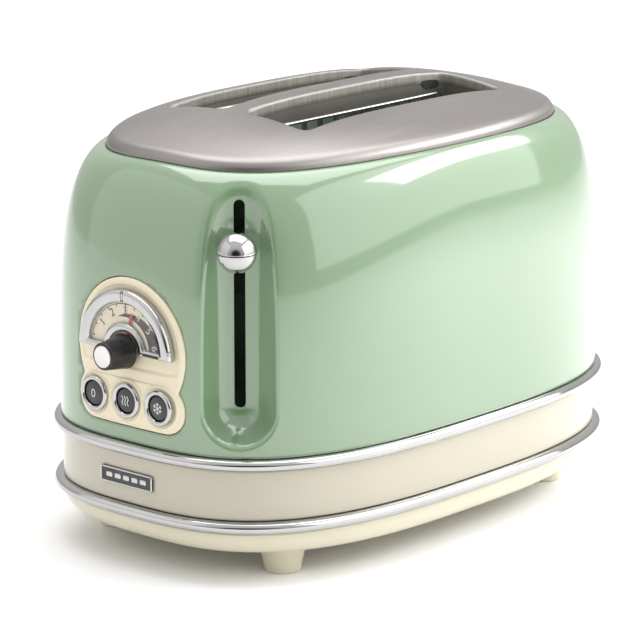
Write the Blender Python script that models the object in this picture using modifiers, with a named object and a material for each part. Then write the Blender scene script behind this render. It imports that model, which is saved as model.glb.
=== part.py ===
"""A two-slice pop-up toaster with a domed steel top, an enamelled shell and a two-ring base.

Metres, +Z up, +X away from the control end.  The origin is on the surface the feet stand on,
under the middle of the overall length, which runs from the knob's cap to the rear of the rings.
Inside the script every place is given in the toaster's own frame, whose origin is under the
middle of the rings; one empty carries the whole toaster from there to its place.
"""

import math

import bmesh
import bpy
from mathutils import Matrix, Vector

# --- overall sizes -------------------------------------------------------------------------
BODY_LENGTH = 0.3060
BODY_WIDTH = 0.1986
CROWN_HEIGHT = 0.21615
FOOT_HEIGHT = 0.0132
PAN_HEIGHT = 0.0125
RING_HEIGHT = 0.0060
BAND_HEIGHT = 0.0240
JOINT_GAP = 0.0003
SHELL_WALL = 0.0012
BASE_WALL = 0.0020

# A plan outline is (half length, half width, power at the ends, power at the sides).  Length and
# width are measured over the rings, and every other outline stands in from them.
RING_PLAN = (BODY_LENGTH / 2, BODY_WIDTH / 2, 2.96, 2.88)
WALL_PLAN = (RING_PLAN[0] - 0.0040, RING_PLAN[1] - 0.0033, 2.85, 3.00)
SEAM_PLAN = (RING_PLAN[0] - 0.0258, RING_PLAN[1] - 0.0164, 2.12, 2.79)
BAND_PLAN = (RING_PLAN[0] - 0.0044, RING_PLAN[1] - 0.0043, 2.90, 2.95)
PAN_FOOT_PLAN = (RING_PLAN[0] - 0.0180, RING_PLAN[1] - 0.0122, 2.80, 2.90)
WALL_END = WALL_PLAN[0]
CROWN_DROP_X = 0.01564
CROWN_DROP_Y = 0.01441
SHOULDER_POWER = 1.06
RING_WEB = 0.0065

# --- heights that follow from the stack of pan, ring, band, ring and shell -----------------
PAN_FOOT = FOOT_HEIGHT + JOINT_GAP
PAN_TOP = PAN_FOOT + PAN_HEIGHT
LOWER_RING_Z = PAN_TOP + JOINT_GAP + RING_HEIGHT / 2
BAND_FOOT = LOWER_RING_Z + RING_HEIGHT / 2 + JOINT_GAP
BAND_TOP = BAND_FOOT + BAND_HEIGHT
UPPER_RING_Z = BAND_TOP + JOINT_GAP + RING_HEIGHT / 2
SHELL_FOOT = UPPER_RING_Z + RING_HEIGHT / 2 + JOINT_GAP
PAN_FLOOR = 0.0018
PAN_FLOOR_TOP = PAN_FOOT + PAN_FLOOR

# --- top plate and bread slots -------------------------------------------------------------
EDGE_ROLL = 0.0040
SLOT_LENGTH = BODY_LENGTH - 0.1620
SLOT_WIDTH = 0.0383
SLOT_BRIDGE = 0.0141
SLOT_CENTRE_Y = (SLOT_WIDTH + SLOT_BRIDGE) / 2
SLOT_CORNER = 0.0060
FLANGE_FOOT = CROWN_HEIGHT - 0.01465

# --- feet and vents ------------------------------------------------------------------------
FOOT_X = RING_PLAN[0] - 0.0513
FOOT_Y = RING_PLAN[1] - 0.0437
FOOT_TOP_RADIUS = 0.0119
FOOT_BOTTOM_RADIUS = 0.0089
FOOT_EDGE = 0.0008
VENT_PITCH = 0.0160
VENT_HALF_WIDTH = 0.0030
VENT_HALF_LENGTH = 0.0400

# --- lever, its trough and its slot --------------------------------------------------------
LEVER_ANGLE = math.radians(39)
LEVER_OFFSET = 0.0025
TROUGH_DEPTH = 0.0157
TROUGH_FOOT = SHELL_FOOT + 0.0058
TROUGH_BOWL = 0.0100
TROUGH_HALF_FLOOR = 0.0095
TROUGH_HALF_MOUTH = 0.0195
TROUGH_SOFTNESS = 0.25
LEVER_SLOT_WIDTH = 0.0050
LEVER_HEIGHT = CROWN_HEIGHT - 0.05375
LEVER_BALL_RADIUS = 0.0093
LEVER_BALL_SINK = 0.0007
LEVER_ARM_THICK = 0.0032
LEVER_ARM_TALL = 0.0080

# --- control panel and what sits on it -----------------------------------------------------
PANEL_PROUD = 0.0008
PANEL_DEPTH = 0.0028
PANEL_GAP = 0.0004
PANEL_LOW = SHELL_FOOT + 0.0078
BUTTON_HEIGHT = PANEL_LOW + 0.0128
PANEL_STEP = PANEL_LOW + 0.0235
DIAL_HEIGHT = PANEL_LOW + 0.0372
PANEL_DIAL_RADIUS = 0.0350
PANEL_HALF_WIDTH = 0.0345
PANEL_CORNER = 0.0110
BEZEL_RADIUS = PANEL_DIAL_RADIUS - 0.0050
BEZEL_BAND = 0.0065
BEZEL_BAR_LOW = DIAL_HEIGHT - 0.0032
BEZEL_BAR_HIGH = DIAL_HEIGHT + 0.0021
BEZEL_FRONT = WALL_END + 0.0055
COLLAR_RADIUS = 0.0130
COLLAR_HOLE = 0.0100
POINTER_POCKET = COLLAR_RADIUS + 0.0005
DIAL_FIT = 0.0003
DIAL_FACE_THICK = 0.0012
LENS_BACK = WALL_END + 0.0034
LENS_THICK = 0.0010
POINTER_BACK = WALL_END + 0.0013
POINTER_THICK = 0.0008
POINTER_HALF_WIDTH = 0.00075
POINTER_REACH = BEZEL_RADIUS - 0.0110
POINTER_DISC = COLLAR_RADIUS - 0.0005
POINTER_TILT = math.radians(14)
KNOB_BACK = WALL_END + 0.0032
KNOB_LENGTH = 0.0150
KNOB_BASE_RADIUS = COLLAR_HOLE - 0.0007
KNOB_TIP_RADIUS = 0.0070
KNOB_EDGE = 0.0008
KNOB_CAP_RADIUS = KNOB_TIP_RADIUS - 0.0013
KNOB_CAP_THICK = 0.0008
KNOB_SHAFT_RADIUS = 0.0030
BUTTON_RADIUS = 0.0060
BUTTON_PITCH = 0.0213
BUTTON_FIT = 0.0003
BUTTON_RING_RADIUS = BUTTON_RADIUS + 0.00335
BUTTON_RING_FRONT = WALL_END + 0.0032
BUTTON_FRONT = WALL_END + 0.0028
BUTTON_EDGE = 0.0005
BUTTON_HEAD = 0.0070
BUTTON_STEM_RADIUS = 0.0022
BUTTON_TRAVEL = 0.0025
BADGE_LENGTH = 0.0345
BADGE_HEIGHT = 0.0080
BADGE_PROUD = 0.0012
BADGE_CORNER = 0.0012
BADGE_Y = 0.0020

# --- oven ----------------------------------------------------------------------------------
OVEN_HALF_LENGTH = SLOT_LENGTH / 2 + 0.0130
OVEN_HALF_WIDTH = SLOT_CENTRE_Y + SLOT_WIDTH / 2 + 0.01665
OVEN_LOW = BAND_TOP + 0.0014
OVEN_HIGH = CROWN_HEIGHT - 0.02015
SHEET = 0.0012
OVEN_OUTSIDE = OVEN_HALF_LENGTH + SHEET
OVEN_CLEARANCE = 0.0025
REFLECTOR_Y = OVEN_HALF_WIDTH - 0.0060
HEATER_Y = REFLECTOR_Y - 0.0055
HEATER_LOW = OVEN_LOW + 0.0270
HEATER_HIGH = OVEN_HIGH - 0.0210
HEATER_HALF_LENGTH = OVEN_HALF_LENGTH - 0.0100
HEATER_THICK = 0.0008
GUIDE_OPEN = SLOT_WIDTH / 2 - 0.00415
GUIDE_WIRE = 0.0010
GUIDE_HALF_LENGTH = OVEN_HALF_LENGTH - 0.0150
GUIDE_RUNS = 8
GUIDE_LOW = OVEN_LOW + 0.0300
GUIDE_HIGH = CROWN_HEIGHT - 0.01815

# --- carriage ------------------------------------------------------------------------------
LIFTER_HEIGHT = LEVER_HEIGHT - 0.0124
LIFTER_LOWEST = OVEN_LOW + 0.0260
LIFTER_HALF_WIDTH = 0.0060
LIFTER_ROOM = 0.0040
LIFTER_END_X = OVEN_HALF_LENGTH - 0.0070
CARRIAGE_DOWN = LIFTER_HEIGHT - LIFTER_LOWEST
CARRIAGE_UP = 0.0150
CARRIAGE_X = -OVEN_OUTSIDE - 0.0178
CARRIAGE_LOW = LIFTER_HEIGHT - 0.0180
CARRIAGE_HIGH = LIFTER_HEIGHT + 0.0180
ROD_X = -OVEN_OUTSIDE - 0.0088
ROD_Y = SLOT_CENTRE_Y + 0.0118
ROD_RADIUS = 0.0030
ROD_FIT = 0.00025
SLEEVE_RADIUS = 0.0055
SLEEVE_INSET = 0.0030
CARRIAGE_HALF = ROD_Y + SLEEVE_RADIUS + 0.0005
SHELF_REACH = 0.0140
SHELF_HIGH = OVEN_HIGH - 0.0070
SHELF_LOW = OVEN_LOW + 0.0060
SPRING_TAB_Z = CARRIAGE_LOW + 0.0120
SPRING_TAB_HALF = 0.0050
SPRING_TURNS = 9
SPRING_RADIUS = 0.0040
SPRING_WIRE = 0.0006
LEVER_SLOT_LOW = LEVER_HEIGHT - CARRIAGE_DOWN - LEVER_ARM_TALL / 2 - 0.0034
LEVER_SLOT_HIGH = LEVER_HEIGHT + CARRIAGE_UP + LEVER_ARM_TALL / 2 + 0.0056

# --- electronics behind the panel ----------------------------------------------------------
BOARD_THICK = 0.0016
CONTROL_BOARD_X = -WALL_END + 0.0310
CONTROL_BOARD_HALF = 0.0360
CONTROL_BOARD_LOW = PANEL_LOW - 0.0050
CONTROL_BOARD_HIGH = DIAL_HEIGHT + 0.0218
POT_RADIUS = 0.0080
POT_DEPTH = 0.0120
SWITCH_SIZE = 0.0060
SWITCH_DEPTH = 0.0040
POWER_BOARD_Z = BAND_FOOT + 0.0034
POWER_BOARD_X = (-WALL_END + 0.0210, -OVEN_OUTSIDE - 0.0038)
POWER_BOARD_HALF = 0.0500
MAGNET_X = CARRIAGE_X - 0.0020
MAGNET_HALF = 0.0090
MAGNET_DEPTH = 0.0100
MAGNET_ROOM = 0.0042
MAGNET_YOKE = 0.0030
COIL_OVERHANG = 0.0030
COIL_TOP_GAP = 0.0040
ARMATURE_THICK = 0.0036
TERMINAL_HEIGHT = 0.0120
TERMINAL_Y = (0.0220, 0.0460)

# --- crumb tray and cord inlet -------------------------------------------------------------
TRAY_HALF_WIDTH = SLOT_CENTRE_Y + SLOT_WIDTH / 2 + 0.00965
TRAY_LOW = BAND_FOOT + 0.0016
TRAY_WALL_HIGH = TRAY_LOW + 0.0078
TRAY_SHEET = 0.0010
TRAY_INNER_X = -OVEN_HALF_LENGTH + 0.0050
WINDOW_CLEARANCE = 0.0004
TRAY_FRONT_OVERLAP = 0.0020
TRAY_FRONT_HIGH = TRAY_LOW + 0.0130
TRAY_FRONT_CORNER = 0.0030
TRAY_LIP_HALF = 0.0180
TRAY_LIP_LOW = TRAY_LOW + 0.0040
TRAY_LIP_THICK = 0.0030
POST_RADIUS = 0.0028
GLAND_RADIUS = 0.0042
GLAND_BORE = 0.0033
GLAND_HEIGHT = PAN_FOOT + 0.0077
GLAND_FLANGE = 0.0050
GLAND_FLANGE_THICK = 0.0030
GLAND_INNER = PAN_FOOT_PLAN[0] - 0.0080

# --- mesh fineness and the reach of cutters ------------------------------------------------
AROUND = 48
SHOULDER_LEVELS = 9
ROUND_SIDES = 24
FINE_SIDES = 20
FAR = 0.0500
CUT_NEAR = WALL_END - FAR
CUT_FAR = WALL_END + FAR
THROUGH_NEAR = CUT_NEAR - FAR / 5
THROUGH_FAR = CUT_FAR + FAR / 5
HIGH_ABOVE = CROWN_HEIGHT + FAR

KNOB_TIP_X = KNOB_BACK + KNOB_LENGTH + KNOB_CAP_THICK
BODY_SHIFT = (KNOB_TIP_X - RING_PLAN[0]) / 2

for old in list(bpy.data.objects):
    bpy.data.objects.remove(old, do_unlink=True)

parts = bpy.data.collections.new("toaster")
cutters = bpy.data.collections.new("cutters")
bpy.context.scene.collection.children.link(parts)
bpy.context.scene.collection.children.link(cutters)
cutters.hide_render = True

frame = bpy.data.objects.new("toaster_frame", None)
frame.location = (BODY_SHIFT, 0, 0)
parts.objects.link(frame)


# --- materials -----------------------------------------------------------------------------
def finish(name, colour, roughness, metallic=0.0, alpha=1.0):
    """A Principled material of one colour."""
    made = bpy.data.materials.new(name)
    made.use_nodes = True
    shader = made.node_tree.nodes["Principled BSDF"]
    shader.inputs["Base Color"].default_value = (*colour, 1)
    shader.inputs["Roughness"].default_value = roughness
    shader.inputs["Metallic"].default_value = metallic
    shader.inputs["Alpha"].default_value = alpha
    made.diffuse_color = (*colour, alpha)
    return made


GREEN = finish("green_enamel", (0.36, 0.62, 0.42), 0.22)
STEEL = finish("brushed_steel", (0.56, 0.53, 0.50), 0.35, 1.0)
CHROME = finish("chrome", (0.80, 0.80, 0.82), 0.08, 1.0)
CREAM = finish("cream_plastic", (0.78, 0.74, 0.58), 0.38)
PANEL_CREAM = finish("panel_cream", (0.79, 0.70, 0.48), 0.35)
BLACK = finish("black_plastic", (0.02, 0.02, 0.02), 0.35)
WHITE = finish("silver_cap", (0.80, 0.79, 0.76), 0.30)
RED = finish("red_pointer", (0.55, 0.05, 0.04), 0.40)
CLEAR = finish("clear_window", (0.90, 0.93, 0.92), 0.05, 0.0, 0.25)
TINPLATE = finish("tinplate", (0.60, 0.60, 0.60), 0.40, 1.0)
WIRE = finish("plated_wire", (0.70, 0.70, 0.70), 0.25, 1.0)
MICA = finish("mica", (0.55, 0.48, 0.34), 0.60)
BOARD = finish("circuit_board", (0.05, 0.20, 0.08), 0.50)
COPPER = finish("enamelled_copper", (0.55, 0.24, 0.10), 0.35, 1.0)
RUBBER = finish("rubber", (0.03, 0.03, 0.03), 0.70)


# --- shape helpers -------------------------------------------------------------------------
def place(name, mesh, material, smooth=30):
    """Links a finished mesh into the toaster under its frame, or among the cutters."""
    made = bpy.data.objects.new(name, mesh)
    if material is None:
        cutters.objects.link(made)
        made.hide_render = True
        made.display_type = "WIRE"
    else:
        parts.objects.link(made)
        mesh.materials.append(material)
        mesh.shade_smooth()
        mesh.set_sharp_from_angle(angle=math.radians(smooth))
    made.parent = frame
    return made


def mesh_of(name, work):
    bmesh.ops.recalc_face_normals(work, faces=work.faces)
    mesh = bpy.data.meshes.new(name)
    work.to_mesh(mesh)
    work.free()
    return mesh


def loft(name, rings, material=None, looped=False):
    """Skins a stack of outlines with equal point counts; the ends are capped or joined round."""
    work = bmesh.new()
    rows = [[work.verts.new(point) for point in ring] for ring in rings]
    pairs = list(zip(rows, rows[1:]))
    if looped:
        pairs.append((rows[-1], rows[0]))
    else:
        work.faces.new(rows[0])
        work.faces.new(rows[-1])
    for low, high in pairs:
        for i in range(len(low)):
            j = (i + 1) % len(low)
            work.faces.new((low[i], low[j], high[j], high[i]))
    return place(name, mesh_of(name, work), material)


def box(name, low, high, material=None, frame_turn=None):
    """A block between two corners, with its origin at its middle."""
    work = bmesh.new()
    bmesh.ops.create_cube(work, size=1)
    size = Vector(high) - Vector(low)
    bmesh.ops.scale(work, vec=size, verts=work.verts)
    made = place(name, mesh_of(name, work), material)
    made.location = (Vector(high) + Vector(low)) / 2
    if frame_turn is not None:
        made.matrix_basis = frame_turn @ Matrix.Translation(made.location)
    return made


def rod(name, start, end, radius, material=None, end_radius=None, sides=ROUND_SIDES):
    """A cylinder or cone between two points, with its origin at its middle."""
    start = Vector(start)
    along = Vector(end) - start
    work = bmesh.new()
    bmesh.ops.create_cone(
        work,
        cap_ends=True,
        segments=sides,
        radius1=radius,
        radius2=radius if end_radius is None else end_radius,
        depth=along.length,
    )
    made = place(name, mesh_of(name, work), material)
    made.location = start + along / 2
    made.rotation_mode = "QUATERNION"
    made.rotation_quaternion = along.to_track_quat("Z", "Y")
    return made


def turned(name, profile, origin, material, steps=ROUND_SIDES):
    """A profile of (radius, distance out) screwed round an axis that points along -X."""
    mesh = bpy.data.meshes.new(name)
    points = [(radius, 0, out) for radius, out in profile]
    edges = [(i, i + 1) for i in range(len(points) - 1)]
    if points[0][0] > 0:
        edges.append((len(points) - 1, 0))
    mesh.from_pydata(points, edges, [])
    made = place(name, mesh, material)
    screw = made.modifiers.new("turn", "SCREW")
    screw.steps = steps
    screw.render_steps = steps
    screw.use_merge_vertices = True
    screw.merge_threshold = 0.00001
    made.location = origin
    made.rotation_euler = (0, -math.pi / 2, 0)
    return made


def wire(name, points, radius, material, roundness=1):
    """A bent wire along the points."""
    curve = bpy.data.curves.new(name, "CURVE")
    curve.dimensions = "3D"
    curve.bevel_depth = radius
    curve.bevel_resolution = roundness
    curve.use_fill_caps = True
    spline = curve.splines.new("POLY")
    spline.points.add(len(points) - 1)
    for knot, point in zip(spline.points, points):
        knot.co = (*point, 1)
    made = bpy.data.objects.new(name, curve)
    curve.materials.append(material)
    parts.objects.link(made)
    made.parent = frame
    return made


def slab(name, outline, near, far, turn, material=None):
    """A flat outline given thickness, standing between two distances along the turned Z axis."""
    curve = bpy.data.curves.new(name, "CURVE")
    curve.dimensions = "2D"
    curve.fill_mode = "BOTH"
    curve.extrude = (far - near) / 2
    spline = curve.splines.new("POLY")
    spline.points.add(len(outline) - 1)
    for knot, (across, up) in zip(spline.points, outline):
        knot.co = (across, up, 0, 1)
    spline.use_cyclic_u = True
    drawn = bpy.data.objects.new(name + "_outline", curve)
    bpy.context.scene.collection.objects.link(drawn)
    bpy.context.view_layer.update()
    graph = bpy.context.evaluated_depsgraph_get()
    mesh = bpy.data.meshes.new_from_object(drawn.evaluated_get(graph))
    bpy.data.objects.remove(drawn, do_unlink=True)
    work = bmesh.new()
    work.from_mesh(mesh)
    bmesh.ops.remove_doubles(work, verts=work.verts, dist=0.00001)
    bmesh.ops.recalc_face_normals(work, faces=work.faces)
    work.to_mesh(mesh)
    work.free()
    made = place(name, mesh, material)
    made.matrix_basis = turn @ Matrix.Translation((0, 0, (near + far) / 2))
    return made


def combine(target, other, operation):
    change = target.modifiers.new(operation.lower() + "_" + other.name, "BOOLEAN")
    change.operation = operation
    change.object = other
    change.solver = "EXACT"


def cut(target, *tools):
    for tool in tools:
        combine(target, tool, "DIFFERENCE")


def join(target, *pieces):
    for piece in pieces:
        combine(target, piece, "UNION")


def keep(target, *bounds):
    for bound in bounds:
        combine(target, bound, "INTERSECT")


# Facing the control end: local X runs to the viewer's right, local Y up, local Z out along -X.
PANEL_TURN = Matrix(((0, 0, -1, 0), (-1, 0, 0, 0), (0, 1, 0, 0), (0, 0, 0, 1)))
# Facing the lever's corner: local X runs across the slot, local Y up, local Z out of the wall.
LEVER_OUT = Vector((-math.cos(LEVER_ANGLE), -math.sin(LEVER_ANGLE), 0))
LEVER_ACROSS = Vector((-LEVER_OUT.y, LEVER_OUT.x, 0))
LEVER_TURN = Matrix(
    (
        (LEVER_ACROSS.x, 0, LEVER_OUT.x, 0),
        (LEVER_ACROSS.y, 0, LEVER_OUT.y, 0),
        (0, 1, 0, 0),
        (0, 0, 0, 1),
    )
)


def plan(section, grow=0.0, count=AROUND):
    """Points round a superellipse whose half sizes are grown by one amount."""
    half_x, half_y, power_x, power_y = section
    points = []
    for step in range(count):
        angle = 2 * math.pi * step / count
        c = math.cos(angle)
        s = math.sin(angle)
        x = math.copysign(abs(c) ** (2 / power_x), c) * (half_x + grow)
        y = math.copysign(abs(s) ** (2 / power_y), s) * (half_y + grow)
        points.append((x, y))
    return points


def level(points, z):
    return [(x, y, z) for x, y in points]


def blend(low, high, share):
    return tuple(a + (b - a) * share for a, b in zip(low, high))


def crown(x, y):
    """Height of the domed top plate over a point."""
    return CROWN_HEIGHT - CROWN_DROP_X * (x / SEAM_PLAN[0]) ** 2 - CROWN_DROP_Y * (y / SEAM_PLAN[1]) ** 2


def body_rings(grow, inner=False):
    """Outlines of the enamelled wall: upright below, rolling in over a quarter superellipse."""
    drop = -grow if inner else 0
    rim = [crown(x, y) - EDGE_ROLL - JOINT_GAP - drop for x, y in plan(SEAM_PLAN)]
    rings = []
    for step in range(SHOULDER_LEVELS + 1):
        angle = math.pi / 2 * step / SHOULDER_LEVELS
        rise = math.sqrt(math.sin(angle))
        inset = 1 - max(math.cos(angle), 0) ** SHOULDER_POWER
        points = plan(blend(WALL_PLAN, SEAM_PLAN, inset), grow)
        rings.append([(x, y, SHELL_FOOT + rise * (top - SHELL_FOOT)) for (x, y), top in zip(points, rim)])
    return rings


def body_block(name, grow, inner=False):
    """The space inside the wall grown by one amount, run on past its foot, and past its rim if inner."""
    rings = body_rings(grow, inner)
    rings.insert(0, [(x, y, z - FAR / 5) for x, y, z in rings[0]])
    if inner:
        rings.append([(x, y, z + FAR) for x, y, z in rings[-1]])
    return loft(name, rings)


def arc(centre, radius, start, end, steps):
    """Points of an arc, its ends included, with angles in radians."""
    turns = [start + (end - start) * i / steps for i in range(steps + 1)]
    return [(centre[0] + radius * math.cos(t), centre[1] + radius * math.sin(t)) for t in turns]


def rounded(half_x, low, high, radius, centre_x=0.0, steps=4):
    """A rounded rectangle outline, anticlockwise from its lower right corner."""
    quarter = math.pi / 2
    corners = (
        ((half_x - radius, low + radius), -quarter),
        ((half_x - radius, high - radius), 0),
        ((radius - half_x, high - radius), quarter),
        ((radius - half_x, low + radius), 2 * quarter),
    )
    points = []
    for (x, y), start in corners:
        points += arc((x + centre_x, y), radius, start, start + quarter, steps)
    return points


# The point where the wall bulges furthest towards the lever sets the trough's place.
LEVER_CORNER = max((Vector((x, y, 0)) for x, y in plan(WALL_PLAN, 0.0, 720)), key=LEVER_OUT.dot)
LEVER_SIDE = LEVER_CORNER.dot(LEVER_ACROSS) - LEVER_OFFSET
TROUGH_FLOOR = LEVER_CORNER.dot(LEVER_OUT) - TROUGH_DEPTH
LEVER_BALL_OUT = LEVER_CORNER.dot(LEVER_OUT) - LEVER_BALL_SINK


# --- casing --------------------------------------------------------------------------------
def trough(name, grow):
    """The hollow down the control corner for the lever, with a bowl at its foot."""
    run = (TROUGH_HALF_MOUTH - TROUGH_HALF_FLOOR) / TROUGH_DEPTH
    far_out = TROUGH_FLOOR + TROUGH_DEPTH + FAR / 2
    rings = []
    for rise in (1.0, 0.95, 0.8, 0.5, 0.0, -12.0):
        bowl = max(rise, 0)
        z = TROUGH_FOOT + TROUGH_BOWL * (1 - rise) - grow
        floor = TROUGH_FLOOR + TROUGH_DEPTH * (1 - math.sqrt(1 - bowl * bowl)) - grow
        near = TROUGH_HALF_FLOOR + grow
        mouth = near + (far_out - floor) * run
        soft = near * TROUGH_SOFTNESS
        section = (
            (-mouth, far_out),
            (mouth, far_out),
            (near + soft, floor + 1.5 * soft),
            (near, floor + soft / 2),
            (near - soft, floor),
            (soft - near, floor),
            (-near, floor + soft / 2),
            (-near - soft, floor + 1.5 * soft),
        )
        rings.append(
            [LEVER_ACROSS * side + LEVER_OUT * out + Vector((0, 0, z)) for side, out in section]
        )
    return loft(name, rings)


def lever_slot():
    half = LEVER_SLOT_WIDTH / 2
    outline = rounded(half, LEVER_SLOT_LOW, LEVER_SLOT_HIGH, half - JOINT_GAP / 6, LEVER_SIDE)
    return slab("lever_slot", outline, TROUGH_FLOOR - FAR / 4, TROUGH_FLOOR + FAR / 4, LEVER_TURN)


def slide_along_corner(tool):
    """Moves a cutter made about the corner's middle line to the lever's side of it."""
    tool.location = LEVER_ACROSS * LEVER_SIDE
    return tool


def casing():
    shell = loft("body_shell", body_rings(0), GREEN)
    hollow = body_block("shell_hollow", -SHELL_WALL, True)
    cut(hollow, slide_along_corner(trough("trough_inside", SHELL_WALL)))
    cut(shell, slide_along_corner(trough("trough_outside", 0)), hollow, lever_slot())
    opening = slab("panel_opening", panel_outline(PANEL_GAP), CUT_NEAR, CUT_FAR, PANEL_TURN)
    cut(shell, opening)


def slot_outline(side, grow=0.0):
    half = SLOT_WIDTH / 2 + grow
    low = side * SLOT_CENTRE_Y - half
    return rounded(SLOT_LENGTH / 2 + grow, low, low + 2 * half, SLOT_CORNER + grow)


def top_plate():
    """One pressing: a rolled edge, a dome, and a flange turned down round each slot."""
    upper = []
    lower = []
    for share in (0.08, 0.3, 0.55, 0.8):
        points = plan((SEAM_PLAN[0] * share, SEAM_PLAN[1] * share, *SEAM_PLAN[2:]))
        upper.append([(x, y, crown(x, y)) for x, y in points])
        lower.append([(x, y, crown(x, y) - SHELL_WALL) for x, y in points])
    edge = []
    for step in range(4):
        angle = math.pi / 2 * (1 - step / 3)
        inset = EDGE_ROLL * (1 - math.cos(angle))
        drop = EDGE_ROLL * (1 - math.sin(angle))
        edge.append([(x, y, crown(x, y) - drop) for x, y in plan(SEAM_PLAN, -inset)])
    inner = plan(SEAM_PLAN, -SHELL_WALL)
    inner_top = plan(SEAM_PLAN, -EDGE_ROLL)
    under = [[(x, y, crown(x, y) - EDGE_ROLL) for x, y in inner]]
    under.append([(x, y, crown(x, y) - SHELL_WALL) for x, y in inner_top])
    plate = loft("top_plate", upper + edge + under + lower[::-1], STEEL)
    for side in (-1, 1):
        outline = slot_outline(side, SHELL_WALL)
        foot = [(x, y, FLANGE_FOOT) for x, y in outline]
        head = [(x, y, crown(x, y) - SHELL_WALL / 2) for x, y in outline]
        join(plate, loft(f"slot_flange_{side}", [foot, head]))
    for side in (-1, 1):
        cut(plate, slab(f"slot_{side}", slot_outline(side), FLANGE_FOOT - FAR, HIGH_ABOVE, Matrix()))


def chrome_ring(name, z):
    """A half-round bead with a flat web that is clamped between the pieces above and below."""
    half = RING_HEIGHT / 2
    rings = [level(plan(RING_PLAN, -RING_WEB), z - half)]
    for step in range(7):
        angle = math.pi * (step / 6 - 0.5)
        rings.append(level(plan(RING_PLAN, half * (math.cos(angle) - 1)), z + half * math.sin(angle)))
    rings.append(level(plan(RING_PLAN, -RING_WEB), z + half))
    loft(name, rings, CHROME, looped=True)


def band_block(name, grow, low, high, material=None):
    return loft(name, [level(plan(BAND_PLAN, grow), low), level(plan(BAND_PLAN, grow), high)], material)


def tray_window(grow):
    half = TRAY_HALF_WIDTH + TRAY_FRONT_OVERLAP + grow
    low = TRAY_LOW - WINDOW_CLEARANCE - grow
    return rounded(half, low, TRAY_FRONT_HIGH + grow, TRAY_FRONT_CORNER)


def base_band():
    band = band_block("base_band", 0, BAND_FOOT, BAND_TOP, CREAM)
    cut(band, band_block("band_hollow", -BASE_WALL, BAND_FOOT - FAR, BAND_TOP + FAR))
    cut(band, slab("band_window", tray_window(WINDOW_CLEARANCE), -CUT_FAR, -CUT_NEAR, PANEL_TURN))


def pan_rings(grow):
    rings = []
    for step in range(5):
        angle = math.pi / 2 * (1 - step / 4)
        section = blend(BAND_PLAN, PAN_FOOT_PLAN, 1 - math.cos(angle))
        rings.append(level(plan(section, grow), PAN_TOP - PAN_HEIGHT * math.sin(angle)))
    return rings


def base_pan():
    """The moulded bottom: a bowl with vents, four posts that carry the oven, and the cord's hole."""
    pan = loft("base_pan", pan_rings(0), CREAM)
    inside = pan_rings(-BASE_WALL)
    inside[0] = [(x, y, PAN_FLOOR_TOP) for x, y, _ in inside[0]]
    inside.append([(x, y, z + FAR) for x, y, z in inside[-1]])
    cut(pan, loft("pan_hollow", inside))
    for x in (-1, 1):
        for y in (-1, 1):
            centre = (x * (OVEN_HALF_LENGTH + SHEET / 2), y * (OVEN_HALF_WIDTH - POST_RADIUS + JOINT_GAP))
            foot = (*centre, PAN_FOOT + PAN_FLOOR / 2)
            head = (*centre, OVEN_LOW - JOINT_GAP)
            join(pan, rod(f"post_{x}_{y}", foot, head, POST_RADIUS, sides=12))
    for row in range(-3, 4):
        low = (row * VENT_PITCH - VENT_HALF_WIDTH, -VENT_HALF_LENGTH, 0)
        high = (row * VENT_PITCH + VENT_HALF_WIDTH, VENT_HALF_LENGTH, PAN_FLOOR_TOP + PAN_FLOOR)
        cut(pan, box(f"vent_{row}", low, high))
    low = (GLAND_INNER - FAR / 4, 0, GLAND_HEIGHT)
    high = (RING_PLAN[0] + FAR, 0, GLAND_HEIGHT)
    cut(pan, rod("cord_hole", low, high, GLAND_RADIUS + JOINT_GAP))


def feet():
    for name, x, y in (
        ("foot_front_near", -1, -1),
        ("foot_front_far", -1, 1),
        ("foot_rear_near", 1, -1),
        ("foot_rear_far", 1, 1),
    ):
        top = (x * FOOT_X, y * FOOT_Y, FOOT_HEIGHT)
        foot = rod(name, (top[0], top[1], 0), top, FOOT_BOTTOM_RADIUS, CREAM, FOOT_TOP_RADIUS)
        soften = foot.modifiers.new("soft_edge", "BEVEL")
        soften.width = FOOT_EDGE
        soften.segments = 1


# --- control panel -------------------------------------------------------------------------
def panel_outline(grow=0.0):
    """A round upper lobe about the dial standing on a wider rounded foot, with a waist between."""
    corner = (PANEL_HALF_WIDTH - PANEL_CORNER, PANEL_STEP - PANEL_CORNER)
    dial = (0.0, DIAL_HEIGHT)
    big = PANEL_DIAL_RADIUS + grow
    small = PANEL_CORNER + grow
    away = Vector(corner) - Vector(dial)
    reach = away.length
    bearing = math.atan2(away.y, away.x)
    big_turn = math.acos((big**2 + reach**2 - small**2) / (2 * big * reach))
    small_turn = math.pi - math.acos((small**2 + reach**2 - big**2) / (2 * small * reach))
    dial_start = bearing + big_turn
    corner_end = bearing + small_turn
    low_corner = (corner[0], PANEL_LOW + PANEL_CORNER)
    right = arc(low_corner, small, -math.pi / 2, 0, 5) + arc(corner, small, 0, corner_end, 4)[:-1]
    lobe = arc(dial, big, dial_start, math.pi - dial_start, 24)
    left = [(-x, y) for x, y in reversed(right)]
    return right + lobe + left


def dial_window(grow=0.0):
    """The half ring left open between the bezel's band, its bar and the collar round the knob."""
    low = BEZEL_BAR_HIGH - DIAL_HEIGHT - grow
    outer = BEZEL_RADIUS - BEZEL_BAND + grow
    inner = COLLAR_RADIUS - grow
    outer_start = math.asin(low / outer)
    inner_start = math.asin(low / inner)
    centre = (0.0, DIAL_HEIGHT)
    outside = arc(centre, outer, outer_start, math.pi - outer_start, 16)
    return outside + arc(centre, inner, math.pi - inner_start, inner_start, 10)


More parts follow.
